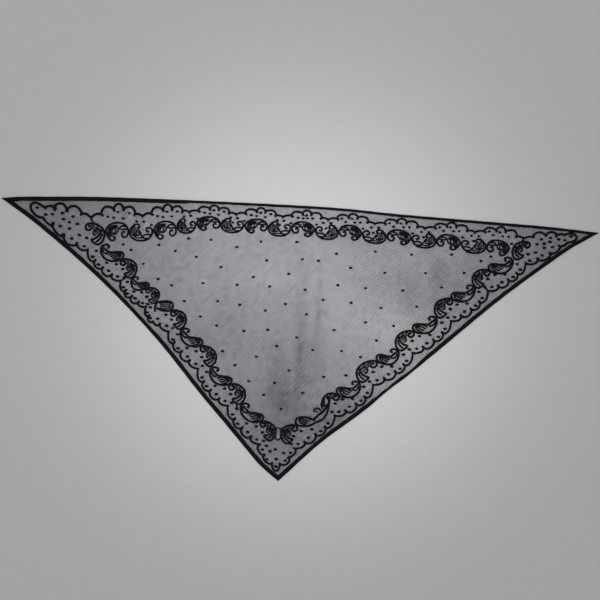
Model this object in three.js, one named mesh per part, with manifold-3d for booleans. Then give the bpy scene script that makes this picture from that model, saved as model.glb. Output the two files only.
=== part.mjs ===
// A triangular lace headscarf, laid out flat: a fine net panel with soft folds and embroidered
// dots, a bound edge, a scalloped cord, and a garland of leafy scrolls along all three edges.
// Millimetres, +Z up. X runs along the long edge, the apex points to -Y and the floor is z = 0.
// Places in the lace border are given by `along`, the distance from an edge's first corner, and
// `deep`, the distance inward from the outer edge of the cloth.
import * as THREE from 'three';
import { mergeVertices } from 'three/addons/utils/BufferGeometryUtils.js';
import Module from 'manifold-3d';

const wasm = await Module();
wasm.setup();

// Driving sizes
const span = 960;               // tip to tip
const depth = 427;              // from the tips' line to the apex
const apexShift = -10;          // the apex lies a little left of the middle
const longBow = 15;             // the long edge bulges this much beyond the tips' line
const netWall = 1.2;
const bandWall = 2.0;
const seamGap = 0.3;
const lineHeight = 1.2;         // raised embroidery above the net
const lineWidth = 2.2;
const cordHeight = 1.6;
const cordWidth = 2.6;
const knobWidth = 3.8;
const shortLobe = 15;           // a lobe shorter than this has two bends instead of three
const crown = 0.55;             // top width of an embroidered line over its foot width
const dotRadius = 2.4;
const dotHeight = 1.1;
const rowCount = 21;            // net rows from the long edge to the apex
const flatPitch = 32;           // net columns along a row where the net lies flat
const foldPitch = 13;           // net columns across a fold
const topPitch = 24;            // net columns along the long edge

// The three corners and the edges between them. `out` is how far an edge bows outward.
const tipLine = (depth - longBow) / 2;
const leftTip = new THREE.Vector2(-span / 2, tipLine);
const rightTip = new THREE.Vector2(span / 2, tipLine);
const apex = new THREE.Vector2(apexShift, tipLine - depth);

const edges = {
  long: edgeCurve(leftTip, rightTip, 1, [
    { at: 0.08, out: 6 },
    { at: 0.17, out: 11 },
    { at: 0.33, out: 14 },
    { at: 0.5, out: longBow },
    { at: 0.67, out: 10.5 },
    { at: 0.83, out: 6.5 },
    { at: 0.92, out: 4 },
  ]),
  left: edgeCurve(leftTip, apex, -1, [
    { at: 0.06, out: -7 },
    { at: 0.12, out: -12 },
    { at: 0.25, out: -19.5 },
    { at: 0.39, out: -22.5 },
    { at: 0.54, out: -19 },
    { at: 0.7, out: -8.5 },
    { at: 0.86, out: 1 },
    { at: 0.94, out: 3.5 },
  ]),
  right: edgeCurve(rightTip, apex, 1, [
    { at: 0.05, out: -6 },
    { at: 0.11, out: -10 },
    { at: 0.29, out: -13 },
    { at: 0.48, out: -9 },
    { at: 0.67, out: -6 },
    { at: 0.8, out: -4.5 },
    { at: 0.93, out: -3.5 },
  ]),
};

// Width of the bound edge along each side
const bandWidths = {
  long: [
    { along: 0, wide: 6.6 },
    { along: 270, wide: 6.2 },
    { along: 320, wide: 3.8 },
    { along: 961, wide: 4.2 },
  ],
  left: [
    { along: 0, wide: 6.4 },
    { along: 640, wide: 6.6 },
  ],
  right: [
    { along: 0, wide: 5.4 },
    { along: 320, wide: 6.2 },
    { along: 372, wide: 3.4 },
    { along: 430, wide: 3.6 },
    { along: 480, wide: 6.2 },
    { along: 650, wide: 6.8 },
  ],
};

// Soft folds in the field of the net. Each is a ridge from one end to the other.
const folds = [
  { x1: 22, y1: 152, x2: 31, y2: -92, halfWidth: 30, rise: 4.2 },
  { x1: -22, y1: 10, x2: -17, y2: -112, halfWidth: 22, rise: 3.0 },
  { x1: 172, y1: 148, x2: 181, y2: 44, halfWidth: 26, rise: 2.6 },
  { x1: 224, y1: 152, x2: 226, y2: 98, halfWidth: 22, rise: 2.2 },
  { x1: -128, y1: 132, x2: -96, y2: 4, halfWidth: 28, rise: 2.0 },
];
const foldEnd = 0.22;           // share of a fold's length over which each end dies away

// Scallops. A unit runs from one deep cusp to the next; `at` is the share of its length.
const longUnit = [
  { at: 0.19, knob: 15.5, crest: 15.2 },
  { at: 0.42, knob: 11.3, crest: 8.2 },
  { at: 0.64, knob: 11.3, crest: 5.9 },
  { at: 0.83, knob: 15.3, crest: 8.2 },
  { at: 1, knob: 19, crest: 14.8 },
];
const legUnit = [
  { at: 0.27, knob: 16.5, crest: 12.6 },
  { at: 0.52, knob: 16.5, crest: 8.9 },
  { at: 0.75, knob: 18, crest: 9.6 },
  { at: 1, knob: 21.5, crest: 14.4 },
];
const cusps = {
  long: [145, 228, 302, 377, 453, 526, 602, 682, 761, 838],
  left: [159, 231, 288, 341, 415, 493, 573],
  right: [124, 198, 274, 355, 435, 516, 597],
};
const longDeepening = [
  { along: 130, by: 1.8 },
  { along: 228, by: 1.5 },
  { along: 262, by: 1.55 },
  { along: 300, by: 1 },
  { along: 780, by: 1 },
  { along: 838, by: 1.2 },
];
// Knobs of the lobes between a corner and the first or last deep cusp
const cornerLobes = {
  longStart: [
    { along: 70, knob: 14.5, crest: 0 },
    { along: 87, knob: 20.5, crest: 13.5 },
    { along: 108, knob: 22.5, crest: 11.5 },
    { along: 129, knob: 27.5, crest: 14.5 },
    { along: 145, knob: 33, crest: 26.5 },
  ],
  longEnd: [
    { along: 856, knob: 18.4, crest: 18.2 },
    { along: 876, knob: 14, crest: 9 },
    { along: 893, knob: 12.5, crest: 6.9 },
    { along: 908, knob: 12, crest: 9 },
  ],
  leftStart: [
    { along: 72, knob: 14.5, crest: 0 },
    { along: 90, knob: 18.5, crest: 11.6 },
    { along: 115, knob: 14.5, crest: 9.3 },
    { along: 141, knob: 18.5, crest: 8.8 },
    { along: 159, knob: 22.5, crest: 13.6 },
  ],
  rightStart: [
    { along: 51, knob: 12.5, crest: 0 },
    { along: 66, knob: 14, crest: 9 },
    { along: 85, knob: 13, crest: 7.8 },
    { along: 104, knob: 15.5, crest: 7.8 },
    { along: 124, knob: 22, crest: 13 },
  ],
  leftEnd: [
    { along: 591, knob: 15, crest: 12.4 },
    { along: 610, knob: 14.5, crest: 9.2 },
  ],
  rightEnd: [
    { along: 613, knob: 15, crest: 12.4 },
    { along: 631, knob: 15, crest: 9.4 },
  ],
};
// The round lobe at each corner, from the first edge's side to the second's
const cornerLoops = {
  leftTip: [
    { edge: 'left', along: 65, deep: 10.2 },
    { edge: 'left', along: 56, deep: 9.4 },
    { edge: 'left', along: 48, deep: 12 },
    { edge: 'long', along: 47, deep: 17 },
    { edge: 'long', along: 51, deep: 11 },
    { edge: 'long', along: 59, deep: 9.4 },
    { edge: 'long', along: 66, deep: 11 },
  ],
  rightTip: [
    { edge: 'long', along: 913, deep: 7.6 },
    { edge: 'long', along: 920, deep: 7.2 },
    { edge: 'long', along: 925.5, deep: 10.4 },
    { edge: 'right', along: 36.5, deep: 9.2 },
    { edge: 'right', along: 43, deep: 8 },
    { edge: 'right', along: 48, deep: 9.4 },
  ],
  apex: [
    { edge: 'right', along: 636.5, deep: 10 },
    { edge: 'right', along: 640.5, deep: 12 },
    { edge: 'left', along: 626, deep: 10.5 },
    { edge: 'left', along: 620, deep: 9 },
    { edge: 'left', along: 614, deep: 9.8 },
  ],
};

// Scrolls. Every scroll fills a box in the border: `from` and `to` along, `near` and `far` deep.
const scrollBoxes = {
  long: [
    { kind: 'hood', from: 168, to: 207.4, near: 39, far: 69 },
    { kind: 'cradle', from: 207, to: 246.4, near: 39.4, far: 67 },
    { kind: 'hood', from: 246, to: 284.2, near: 34, far: 64 },
    { kind: 'cradle', from: 283.6, to: 314.6, near: 27, far: 53 },
    { kind: 'hood', from: 314, to: 354, near: 24.4, far: 47 },
    { kind: 'cradle', from: 353.4, to: 392, near: 25, far: 49 },
    { kind: 'hood', from: 391.4, to: 430, near: 24.4, far: 47 },
    { kind: 'cradle', from: 429.4, to: 468, near: 25, far: 49 },
    { kind: 'hood', from: 467.4, to: 506.6, near: 24.4, far: 47 },
    { kind: 'cradle', from: 506, to: 545.4, near: 25, far: 50 },
    { kind: 'hood', from: 544.8, to: 584, near: 24.4, far: 47 },
    { kind: 'cradle', from: 583.4, to: 623.4, near: 25, far: 49 },
    { kind: 'hood', from: 622.8, to: 662.4, near: 24.4, far: 47 },
    { kind: 'cradle', from: 661.8, to: 702.4, near: 24.4, far: 50 },
    { kind: 'hood', from: 701.8, to: 741.8, near: 25, far: 49 },
    { kind: 'cradle', from: 741.2, to: 782.8, near: 27, far: 51 },
    { kind: 'hood', from: 782.2, to: 819.4, near: 27, far: 51 },
  ],
  left: [
    { kind: 'legCradle', from: 130, to: 169, near: 36, far: 62 },
    { kind: 'legHood', from: 168.2, to: 208.4, near: 29, far: 56 },
    { kind: 'legCradle', from: 207.6, to: 241, near: 32, far: 58 },
    { kind: 'legHood', from: 240.2, to: 268, near: 27, far: 51 },
    { kind: 'legCradle', from: 267.2, to: 294, near: 31, far: 54 },
    { kind: 'legHood', from: 293.2, to: 319.4, near: 33, far: 57 },
    { kind: 'legCradle', from: 318.6, to: 351, near: 34, far: 58 },
    { kind: 'legHood', from: 350.2, to: 389, near: 30, far: 55 },
    { kind: 'legCradle', from: 388.2, to: 427.6, near: 35, far: 59 },
    { kind: 'legHood', from: 426.8, to: 468, near: 28, far: 54 },
    { kind: 'legCradle', from: 467.2, to: 504.6, near: 32, far: 57.5 },
    { kind: 'legHood', from: 503.8, to: 545.6, near: 29, far: 55 },
    { kind: 'legCradle', from: 544.8, to: 580, near: 33, far: 58 },
  ],
  right: [
    { kind: 'legCradle', from: 99, to: 135, near: 32, far: 56 },
    { kind: 'legHood', from: 134.4, to: 176.6, near: 29, far: 54 },
    { kind: 'legCradle', from: 175.8, to: 211, near: 34, far: 58 },
    { kind: 'legHood', from: 210.2, to: 249.6, near: 31, far: 56 },
    { kind: 'legCradle', from: 248.8, to: 287.6, near: 36, far: 60 },
    { kind: 'legHood', from: 286.8, to: 330.4, near: 31, far: 56 },
    { kind: 'legCradle', from: 329.6, to: 369.6, near: 33.5, far: 58 },
    { kind: 'legHood', from: 368.8, to: 410.2, near: 28, far: 54 },
    { kind: 'legCradle', from: 409.4, to: 449, near: 33, far: 58 },
    { kind: 'legHood', from: 448.2, to: 491.6, near: 26, far: 52 },
    { kind: 'legCradle', from: 490.8, to: 526.6, near: 34, far: 57 },
    { kind: 'legHood', from: 525.8, to: 570.4, near: 28, far: 55 },
    { kind: 'legCradle', from: 569.6, to: 603, near: 32, far: 57 },
  ],
};
const heavyTurn = 467;          // past this the long edge's scrolls carry their leaves on the right
const fullScroll = 36;          // a scroll this long or longer has leaves of full width
const scrollOverlap = 0.5;      // each end of a scroll reaches this far into its neighbour

// Strokes of each kind of scroll in its box: `u` from -1 to 1 along, `v` from 0 near to 1 far,
// and a leaf's own thickness in line widths. A leaf starts and ends on its rim.
const scrollStrokes = {
  hood: {
    rim: [[-0.38, 0.8], [-0.62, 0.97], [-0.97, 0.6], [-0.86, 0.22], [-0.36, 0.03],
      [0.36, 0.04], [0.86, 0.24], [0.98, 0.56], [0.68, 0.78], [0.48, 0.56]],
    leaf: [[-0.9, 0.66, 1.0], [-0.52, 0.38, 3.8], [0.3, 0.05, 1.0]],
  },
  cradle: {
    rim: [[-0.24, 0.3], [-0.42, 0.06], [-0.86, 0.24], [-0.97, 0.58], [-0.62, 0.9],
      [0, 0.97], [0.66, 0.88], [0.97, 0.52], [0.72, 0.24], [0.46, 0.42]],
    leaf: [[-0.66, 0.14, 1.0], [-0.5, 0.62, 4.2], [0.3, 0.93, 1.0]],
  },
  legHood: {
    rim: [[-0.46, 0.56], [-0.6, 0.8], [-0.92, 0.58], [-0.88, 0.26], [-0.44, 0.04],
      [0.14, 0.04], [0.64, 0.26], [0.96, 0.62], [0.8, 0.94], [0.42, 0.88]],
    leaf: [[-0.1, 0.04, 1.0], [0.44, 0.58, 4.2], [0.84, 0.88, 1.0]],
  },
  legCradle: {
    rim: [[-0.54, 0.54], [-0.62, 0.34], [-0.95, 0.42], [-0.8, 0.76], [-0.3, 0.95],
      [0.36, 0.94], [0.84, 0.68], [0.97, 0.34], [0.76, 0.06], [0.28, 0.05]],
    leaf: [[0.4, 0.05, 1.0], [0.46, 0.56, 4.0], [-0.1, 0.95, 1.0]],
  },
};
// The small stem between the two legs' garlands over the apex
const apexStem = [
  { x: -13.6, y: -134, wide: 2.2 },
  { x: -15.2, y: -141, wide: 2.8 },
  { x: -15.4, y: -148, wide: 2.8 },
  { x: -14.2, y: -155, wide: 2.2 },
];

// Embroidered dots. In a unit, `at` is the share of its length; elsewhere places are absolute.
const longDots = [
  { at: 0.33, deep: 18.7 }, { at: 0.44, deep: 19.6 }, { at: 0.53, deep: 14.6 },
  { at: 0.63, deep: 20.2 }, { at: 0.74, deep: 15.4 }, { at: 0.91, deep: 24 },
  { at: 1.05, deep: 24.4 }, { at: 0.97, deep: 32.4 }, { at: 1.2, deep: 27.6 },
];
const legDots = [
  { at: 0.2, deep: 18 }, { at: 0.42, deep: 15 }, { at: 0.66, deep: 18.8 }, { at: 0.9, deep: 21.4 },
  { at: 0.5, deep: 25.8 }, { at: 0.17, deep: 28.8 }, { at: 0.7, deep: 35 }, { at: 0.87, deep: 36.6 },
];
const leftTipDots = [
  { along: 58, deep: 19.5 }, { along: 74, deep: 21.5 }, { along: 80, deep: 29.5 },
  { along: 102, deep: 21.6 }, { along: 98, deep: 32 }, { along: 115, deep: 27 },
  { along: 130, deep: 18 }, { along: 153, deep: 22 }, { along: 134, deep: 29.6 },
  { along: 148, deep: 33 }, { along: 110, deep: 37 }, { along: 92, deep: 40 },
  { along: 121, deep: 43 }, { along: 108, deep: 48 }, { along: 128, deep: 51 },
];
const rightTipDots = [
  { along: 42, deep: 15 }, { along: 56, deep: 17.6 }, { along: 61, deep: 24 },
  { along: 70, deep: 32 }, { along: 75, deep: 18.4 }, { along: 74, deep: 27 },
  { along: 84, deep: 30.6 }, { along: 88, deep: 23.4 }, { along: 96, deep: 16.4 },
  { along: 93, deep: 37 }, { along: 81, deep: 39 }, { along: 103, deep: 26.4 },
  { along: 116, deep: 28 }, { along: 114, deep: 20 },
];
const apexDots = [
  { along: 583, deep: 19 }, { along: 580, deep: 28 }, { along: 592, deep: 24.6 },
  { along: 602, deep: 15.4 }, { along: 612, deep: 22.8 }, { along: 619, deep: 14.6 },
  { along: 596, deep: 34 }, { along: 612, deep: 38 }, { along: 603, deep: 43 },
];
const fieldPitch = { x: 54, y: 27, lean: 9, wander: 6 };
const fieldMargin = { long: 60, left: 66, right: 66 };

const blackThread = { color: 0x131316, roughness: 0.72, metalness: 0 };
const blackNet = { color: 0x4c4c50, roughness: 0.85, metalness: 0 };

// ---------------------------------------------------------------- places on the cloth

function edgeCurve(from, to, side, bows) {
  const chord = to.clone().sub(from);
  const outward = new THREE.Vector2(-chord.y, chord.x).normalize().multiplyScalar(side);
  const points = bows.map(({ at, out }) =>
    from.clone().addScaledVector(chord, at).addScaledVector(outward, out));
  const curve = new THREE.SplineCurve([from, ...points, to]);
  return { curve, outward: side, length: curve.getLength() };
}

function place(edgeName, along, deep) {
  const { curve, outward, length } = edges[edgeName];
  const share = THREE.MathUtils.clamp(along / length, 0, 1);
  const tangent = curve.getTangentAt(share);
  const inward = new THREE.Vector2(tangent.y, -tangent.x).multiplyScalar(outward);
  return curve.getPointAt(share).addScaledVector(inward, deep);
}

function tableValue(rows, key, at, value) {
  const after = rows.findIndex((row) => row[key] >= at);
  if (after === 0) return rows[0][value];
  if (after < 0) return rows[rows.length - 1][value];
  const [low, high] = [rows[after - 1], rows[after]];
  return THREE.MathUtils.mapLinear(at, low[key], high[key], low[value], high[value]);
}

function bandWidthAt(edgeName, along) {
  return tableValue(bandWidths[edgeName], 'along', along, 'wide');
}

// Height of the net's underside above the floor
function foldHeight(x, y) {
  let height = 0;
  for (const fold of folds) {
    const run = new THREE.Vector2(fold.x2 - fold.x1, fold.y2 - fold.y1);
    const offset = new THREE.Vector2(x - fold.x1, y - fold.y1);
    const share = offset.dot(run) / run.lengthSq();
    const aside = Math.abs(offset.cross(run)) / run.length() / fold.halfWidth;
    if (share <= 0 || share >= 1 || aside >= 1) continue;
    const fade = Math.min(1, share / foldEnd, (1 - share) / foldEnd);
    height += fold.rise * soft(fade) * soft(1 - aside);
  }
  return height;
}

function soft(share) {
  return share * share * (3 - 2 * share);
}

// Where two bands' inner lines meet in a corner: `gap` is kept beyond both
function innerCorner(first, firstWidth, second, secondWidth) {
  const corner = first.origin;
  const angle = Math.acos(first.direction.dot(second.direction));
  return corner.clone()
    .addScaledVector(first.direction, secondWidth / Math.sin(angle))
    .addScaledVector(second.direction, firstWidth / Math.sin(angle));
}

// The direction in which an edge leaves one of its corners
function leaving(edgeName, atEnd) {
  const { curve } = edges[edgeName];
  const nearby = 0.03;
  const origin = curve.getPointAt(atEnd ? 1 : 0);
  const direction = curve.getPointAt(atEnd ? 1 - nearby : nearby).sub(origin).normalize();
  return { origin, direction };
}

const cornerEnds = {
  leftTip: [['long', false], ['left', false]],
  rightTip: [['long', true], ['right', false]],
  apex: [['left', true], ['right', true]],
};

function cornerInside(name, gap) {
  const [first, second] = cornerEnds[name];
  const widthOf = ([edgeName, atEnd]) =>
    bandWidthAt(edgeName, atEnd ? edges[edgeName].length : 0) + gap;
  return innerCorner(leaving(...first), widthOf(first), leaving(...second), widthOf(second));
}

// ---------------------------------------------------------------- solids from points

function toGeometry(positions, triangles) {
  const geometry = new THREE.BufferGeometry();
  geometry.setAttribute('position', new THREE.Float32BufferAttribute(positions, 3));
  geometry.setIndex(triangles);
  return geometry;
}

function toManifold(geometry) {
  const plain = geometry.clone();
  plain.deleteAttribute('normal');
  plain.deleteAttribute('uv');
  const merged = mergeVertices(plain);
  return new wasm.Manifold(new wasm.Mesh({
    numProp: 3,
    vertProperties: Float32Array.from(merged.attributes.position.array),
    triVerts: Uint32Array.from(merged.index.array),
  }));
}

function fromManifold(solid) {
  const { vertProperties, triVerts } = solid.getMesh();
  const geometry = toGeometry(Array.from(vertProperties), Array.from(triVerts));
  geometry.computeVertexNormals();
  return geometry;
}

function unite(geometries) {
  return geometries.map(toManifold).reduce((whole, piece) => whole.add(piece));
}

// A raised line on the net. Stations hold a point and a width; the foot follows the net's folds.
function raisedLine(stations, height, closed) {
  const positions = [];
  const count = stations.length;
  stations.forEach(({ point, wide }, i) => {
    const before = stations[closed ? (i + count - 1) % count : Math.max(i - 1, 0)].point;
    const after = stations[closed ? (i + 1) % count : Math.min(i + 1, count - 1)].point;
    const tangent = after.clone().sub(before).normalize();
    const foot = netWall + seamGap + foldHeight(point.x, point.y);
    const corners = [[0.5, 0], [-0.5, 0], [-0.5 * crown, height], [0.5 * crown, height]];
    for (const [aside, up] of corners) {
      const offset = aside * wide;
      positions.push(point.x - tangent.y * offset, point.y + tangent.x * offset, foot + up);
    }
  });
  return toGeometry(positions, ringTriangles(count, closed));
}

// A wall between two matching rows of points, standing on the floor
function stripWall(outer, inner) {
  const positions = [];
  outer.forEach((point, i) => {
    const across = [[point, 0], [inner[i], 0], [inner[i], bandWall], [point, bandWall]];
    across.forEach(([spot, z]) => positions.push(spot.x, spot.y, z));
  });
  return toGeometry(positions, ringTriangles(outer.length, false));
}

// Faces between four-sided rings, with a face over each end unless the run is closed
function ringTriangles(count, closed) {
  const sides = 4;
  const triangles = [];
  const last = closed ? count : count - 1;
  for (let i = 0; i < last; i++) {
    const here = i * sides;
    const next = ((i + 1) % count) * sides;
    for (let k = 0; k < sides; k++) {
      const turn = (k + 1) % sides;
      triangles.push(here + k, next + k, here + turn, here + turn, next + k, next + turn);
    }
  }
  if (!closed) {
    const end = (count - 1) * sides;
    triangles.push(0, 1, 2, 0, 2, 3, end, end + 2, end + 1, end, end + 3, end + 2);
  }
  return triangles;
}

function turnedInsideOut(geometry) {
  const index = geometry.index.array;
  for (let i = 0; i < index.length; i += 3) {
    [index[i], index[i + 1]] = [index[i + 1], index[i]];
  }
  return geometry;
}

// ---------------------------------------------------------------- net panel

// Where the net and the bound edge share their points along each side, as distances along it
const netCorners = {
  leftTip: cornerInside('leftTip', seamGap),
  rightTip: cornerInside('rightTip', seamGap),
  apex: cornerInside('apex', seamGap),
};
const sideStations = {
  long: topStations(),
  left: legStations('left', netCorners.leftTip),
  right: legStations('right', netCorners.rightTip),
};

function netSide(edgeName, along) {
  return place(edgeName, along, bandWidthAt(edgeName, along) + seamGap);
}

function topStations() {
  const { length } = edges.long;
  const steps = Math.round(length / topPitch);
  const clear = topPitch / 3;
  return Array.from({ length: steps - 1 }, (_, i) => ((i + 1) * length) / steps).filter((along) => {
    const { x } = netSide('long', along);
    return x > netCorners.leftTip.x + clear && x < netCorners.rightTip.x - clear;
  });
}

// A leg's stations lie at even heights, one for each row of the net
function legStations(edgeName, top) {
  return Array.from({ length: rowCount - 1 }, (_, i) => {
    const height = THREE.MathUtils.lerp(top.y, netCorners.apex.y, (i + 1) / rowCount);
    let [low, high] = [0, edges[edgeName].length];
    const halvings = 24;
    for (let turn = 0; turn < halvings; turn++) {
      const middle = (low + high) / 2;
      if (netSide(edgeName, middle).y > height) low = middle;
      else high = middle;
    }
    return low;
  });
}

// Columns lie close together across the folds and far apart elsewhere
function netColumns() {
  const columns = [];
  let x = -span / 2;
  while (x < span / 2) {
    columns.push(x);
    const ahead = x + flatPitch / 2;
    const folded = folds.some(({ x1, x2, halfWidth }) =>
      ahead > Math.min(x1, x2) - halfWidth && x < Math.max(x1, x2) + halfWidth);
    x += folded ? foldPitch : flatPitch;
  }
  return columns;
}

// Rows run from the left leg to the right leg; the first follows the long edge, the last is the apex
function netRows() {
  const columns = netColumns();
  const top = sideStations.long.map((along) => netSide('long', along));
  const rows = [[netCorners.leftTip, ...top, netCorners.rightTip]];
  sideStations.left.forEach((along, i) => {
    const start = netSide('left', along);
    const end = netSide('right', sideStations.right[i]);
    const inner = columns
      .filter((x) => x > start.x + foldPitch / 2 && x < end.x - foldPitch / 2)
      .map((x) => start.clone().lerp(end, (x - start.x) / (end.x - start.x)));
    rows.push([start, ...inner, end]);
  });
  rows.push([netCorners.apex]);
  return rows;
}

function netPanel() {
  const rows = netRows();
  const flat = rows.flat();
  const count = flat.length;
  const starts = [];
  rows.reduce((sum, row) => (starts.push(sum), sum + row.length), 0);
  const positions = [];
  for (const lift of [netWall, 0]) {
    for (const { x, y } of flat) positions.push(x, y, foldHeight(x, y) + lift);
  }
  const triangles = [];
  const face = (a, b, c) => triangles.push(a, b, c, a + count, c + count, b + count);
  for (let r = 0; r + 1 < rows.length; r++) {
    let [i, j] = [0, 0];
    const [upper, lower] = [rows[r], rows[r + 1]];
    while (i + 1 < upper.length || j + 1 < lower.length) {
      const nextUpper = i + 1 < upper.length ? upper[i + 1].x : Infinity;
      const nextLower = j + 1 < lower.length ? lower[j + 1].x : Infinity;
      if (nextUpper <= nextLower) {
        face(starts[r] + i, starts[r + 1] + j, starts[r] + i + 1);
        i++;
      } else {
        face(starts[r] + i, starts[r + 1] + j, starts[r + 1] + j + 1);
        j++;
      }
    }
  }
  const leftSide = starts.slice(1, -1);
  const rightSide = starts.slice(1, -1).map((start, k) => start + rows[k + 1].length - 1);
  const topSide = rows[0].map((_, i) => i);
  const rim = [...topSide, ...rightSide, starts[starts.length - 1], ...leftSide.reverse()];
  rim.forEach((from, k) => {
    const to = rim[(k + 1) % rim.length];
    triangles.push(from, to, to + count, from, to + count, from + count);
  });
  return toGeometry(positions, triangles);
}

// ---------------------------------------------------------------- bound edge

// Both ends are mitred: each runs from the corner to the meeting of the inner lines
function band(edgeName, startCorner, endCorner) {
  const start = mitreEnd(edgeName, startCorner);
  const end = mitreEnd(edgeName, endCorner);
  const alongs = sideStations[edgeName];
  const outer = alongs.map((along) => place(edgeName, along, 0));
  const inner = alongs.map((along) => place(edgeName, along, bandWidthAt(edgeName, along)));
  const wall = stripWall([start.outer, ...outer, end.outer], [start.inner, ...inner, end.inner]);
  return edges[edgeName].outward > 0 ? wall : turnedInsideOut(wall);
}

function mitreEnd(edgeName, cornerName) {
  const inner = cornerInside(cornerName, 0);
  const own = cornerEnds[cornerName].find(([name]) => name === edgeName);
  const { origin, direction } = leaving(...own);
  const seam = inner.clone().sub(origin).normalize();
  const aside = new THREE.Vector2(-seam.y, seam.x);
  if (aside.dot(direction) < 0) aside.negate();
  return {
    outer: origin.clone().addScaledVector(aside, seamGap / 2),
    inner: inner.clone().addScaledVector(aside, seamGap / 2),
  };
}

// ---------------------------------------------------------------- scalloped cord

// One lobe, from the knob before it to its own knob, bulging outward to its crest
function lobe(edgeName, fromKnob, toKnob, crest) {
  const shares = toKnob.along - fromKnob.along < shortLobe ? [0.22, 0.78] : [0.16, 0.5, 0.84];
  const stations = shares.map((share) => {
    const along = THREE.MathUtils.lerp(fromKnob.along, toKnob.along, share);
    const base = THREE.MathUtils.lerp(fromKnob.deep, toKnob.deep, share);
    const deep = base - (base - crest) * Math.sin(Math.PI * share) ** 0.5;
    const nearest = bandWidthAt(edgeName, along) + cordWidth / 2 + 2 * seamGap;
    return { point: place(edgeName, along, Math.max(deep, nearest)), wide: cordWidth };
  });
  return [...stations, { point: place(edgeName, toKnob.along, toKnob.deep), wide: knobWidth }];
}

function lobesAlong(edgeName, startLobes, endLobes, unit, deepening) {
  const stations = [];
  let before = { along: startLobes[0].along, deep: startLobes[0].knob };
  stations.push({ point: place(edgeName, before.along, before.deep), wide: knobWidth });
  const add = (along, knob, crest) => {
    const next = { along, deep: knob };
    stations.push(...lobe(edgeName, before, next, crest));
    before = next;
  };
  startLobes.slice(1).forEach(({ along, knob, crest }) => add(along, knob, crest));
  const rowCusps = cusps[edgeName];
  for (let i = 0; i + 1 < rowCusps.length; i++) {
    for (const { at, knob, crest } of unit) {
      const along = THREE.MathUtils.lerp(rowCusps[i], rowCusps[i + 1], at);
      const by = deepening ? tableValue(deepening, 'along', along, 'by') : 1;
      add(along, knob * by, crest * by);
    }
  }
  endLobes.forEach(({ along, knob, crest }) => add(along, knob, crest));
  return stations;
}

function cornerLoop(name) {
  return cornerLoops[name].map(({ edge, along, deep }) =>
    ({ point: place(edge, along, deep), wide: cordWidth }));
}

function scallopStations() {
  const long = lobesAlong('long', cornerLobes.longStart, cornerLobes.longEnd, longUnit, longDeepening);
  const right = lobesAlong('right', cornerLobes.rightStart, cornerLobes.rightEnd, legUnit);
  const left = lobesAlong('left', cornerLobes.leftStart, cornerLobes.leftEnd, legUnit);
  return [
    ...cornerLoop('leftTip'),
    ...long,
    ...cornerLoop('rightTip'),
    ...right,
    ...cornerLoop('apex'),
    ...left.reverse(),
  ];
}

// ---------------------------------------------------------------- scroll garlands

function scrollPoint(edgeName, box, flip, u, v) {
  const middle = (box.from + box.to) / 2;
  const half = (box.to - box.from) / 2 + scrollOverlap;
  const along = middle + half * (flip ? -u : u);
  return place(edgeName, along, THREE.MathUtils.lerp(box.near, box.far, v));
}

function scrollLines(edgeName, box) {
  const strokes = scrollStrokes[box.kind];
  const flip = edgeName === 'long' && box.from >= heavyTurn;
  const scale = Math.min(1, (box.to - box.from) / fullScroll);
  return Object.values(strokes).map((stroke) => stroke.map(([u, v, thick = 1]) =>
    ({ point: scrollPoint(edgeName, box, flip, u, v), wide: lineWidth * Math.max(1, thick * scale) })));
}

const garlandLines = {};
for (const [edgeName, boxes] of Object.entries(scrollBoxes)) {
  garlandLines[edgeName] = boxes.flatMap((box) => scrollLines(edgeName, box));
}
const stemLine = apexStem.map(({ x, y, wide }) => ({ point: new THREE.Vector2(x, y), wide }));
const scallopLine = scallopStations();

function garland(edgeName) {
  return unite(garlandLines[edgeName].map((line) => raisedLine(line, lineHeight, false)));
}

// ---------------------------------------------------------------- embroidered dots

const allLines = [scallopLine, stemLine, ...Object.values(garlandLines).flat()];

function lineDistance(spot, from, to) {
  const run = to.point.clone().sub(from.point);
  const offset = spot.clone().sub(from.point);
  const share = THREE.MathUtils.clamp(offset.dot(run) / run.lengthSq(), 0, 1);
  const wide = THREE.MathUtils.lerp(from.wide, to.wide, share);
  return offset.addScaledVector(run, -share).length() - wide / 2;
}

function clearOfLines(spot) {
  const room = dotRadius + seamGap;
  return allLines.every((line) => line.every((station, i) =>
    i === 0 || lineDistance(spot, line[i - 1], station) > room));
}

function deepOf(edgeName, spot) {
  const samples = 120;
  let nearest = Infinity;
  for (let i = 0; i <= samples; i++) {
    nearest = Math.min(nearest, edges[edgeName].curve.getPoint(i / samples).distanceTo(spot));
  }
  return nearest;
}

function unitDots(edgeName, unit) {
  const rowCusps = cusps[edgeName];
  const spots = [];
  for (let i = 0; i + 1 < rowCusps.length; i++) {
    const middle = (rowCusps[i] + rowCusps[i + 1]) / 2;
    const flip = edgeName === 'long' && middle > heavyTurn;
    for (const { at, deep } of unit) {
      const along = THREE.MathUtils.lerp(rowCusps[i], rowCusps[i + 1], flip ? 1 - at : at);
      const by = edgeName === 'long' ? tableValue(longDeepening, 'along', along, 'by') : 1;
      spots.push(place(edgeName, along, deep * by));
    }
  }
  return spots;
}

function fieldDots() {
  const spots = [];
  const { x: across, y: down, lean, wander } = fieldPitch;
  for (let row = -9; row <= 9; row++) {
    for (let column = -9; column <= 9; column++) {
      const shift = (Math.abs(row) % 2) * (across / 2) + lean * Math.sin(row * 1.7);
      const spot = new THREE.Vector2(
        column * across + shift + wander * Math.sin(column * 2.3 + row * 4.1),
        row * down + wander * Math.sin(column * 3.7 + row * 1.9),
      );
      const inCloth = spot.y < tipLine && spot.y > apex.y
        && Object.entries(fieldMargin).every(([name, margin]) => deepOf(name, spot) > margin)
        && spot.x > -span / 2 && insideLegs(spot);
      if (inCloth) spots.push(spot);
    }
  }
  return spots;
}

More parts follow.
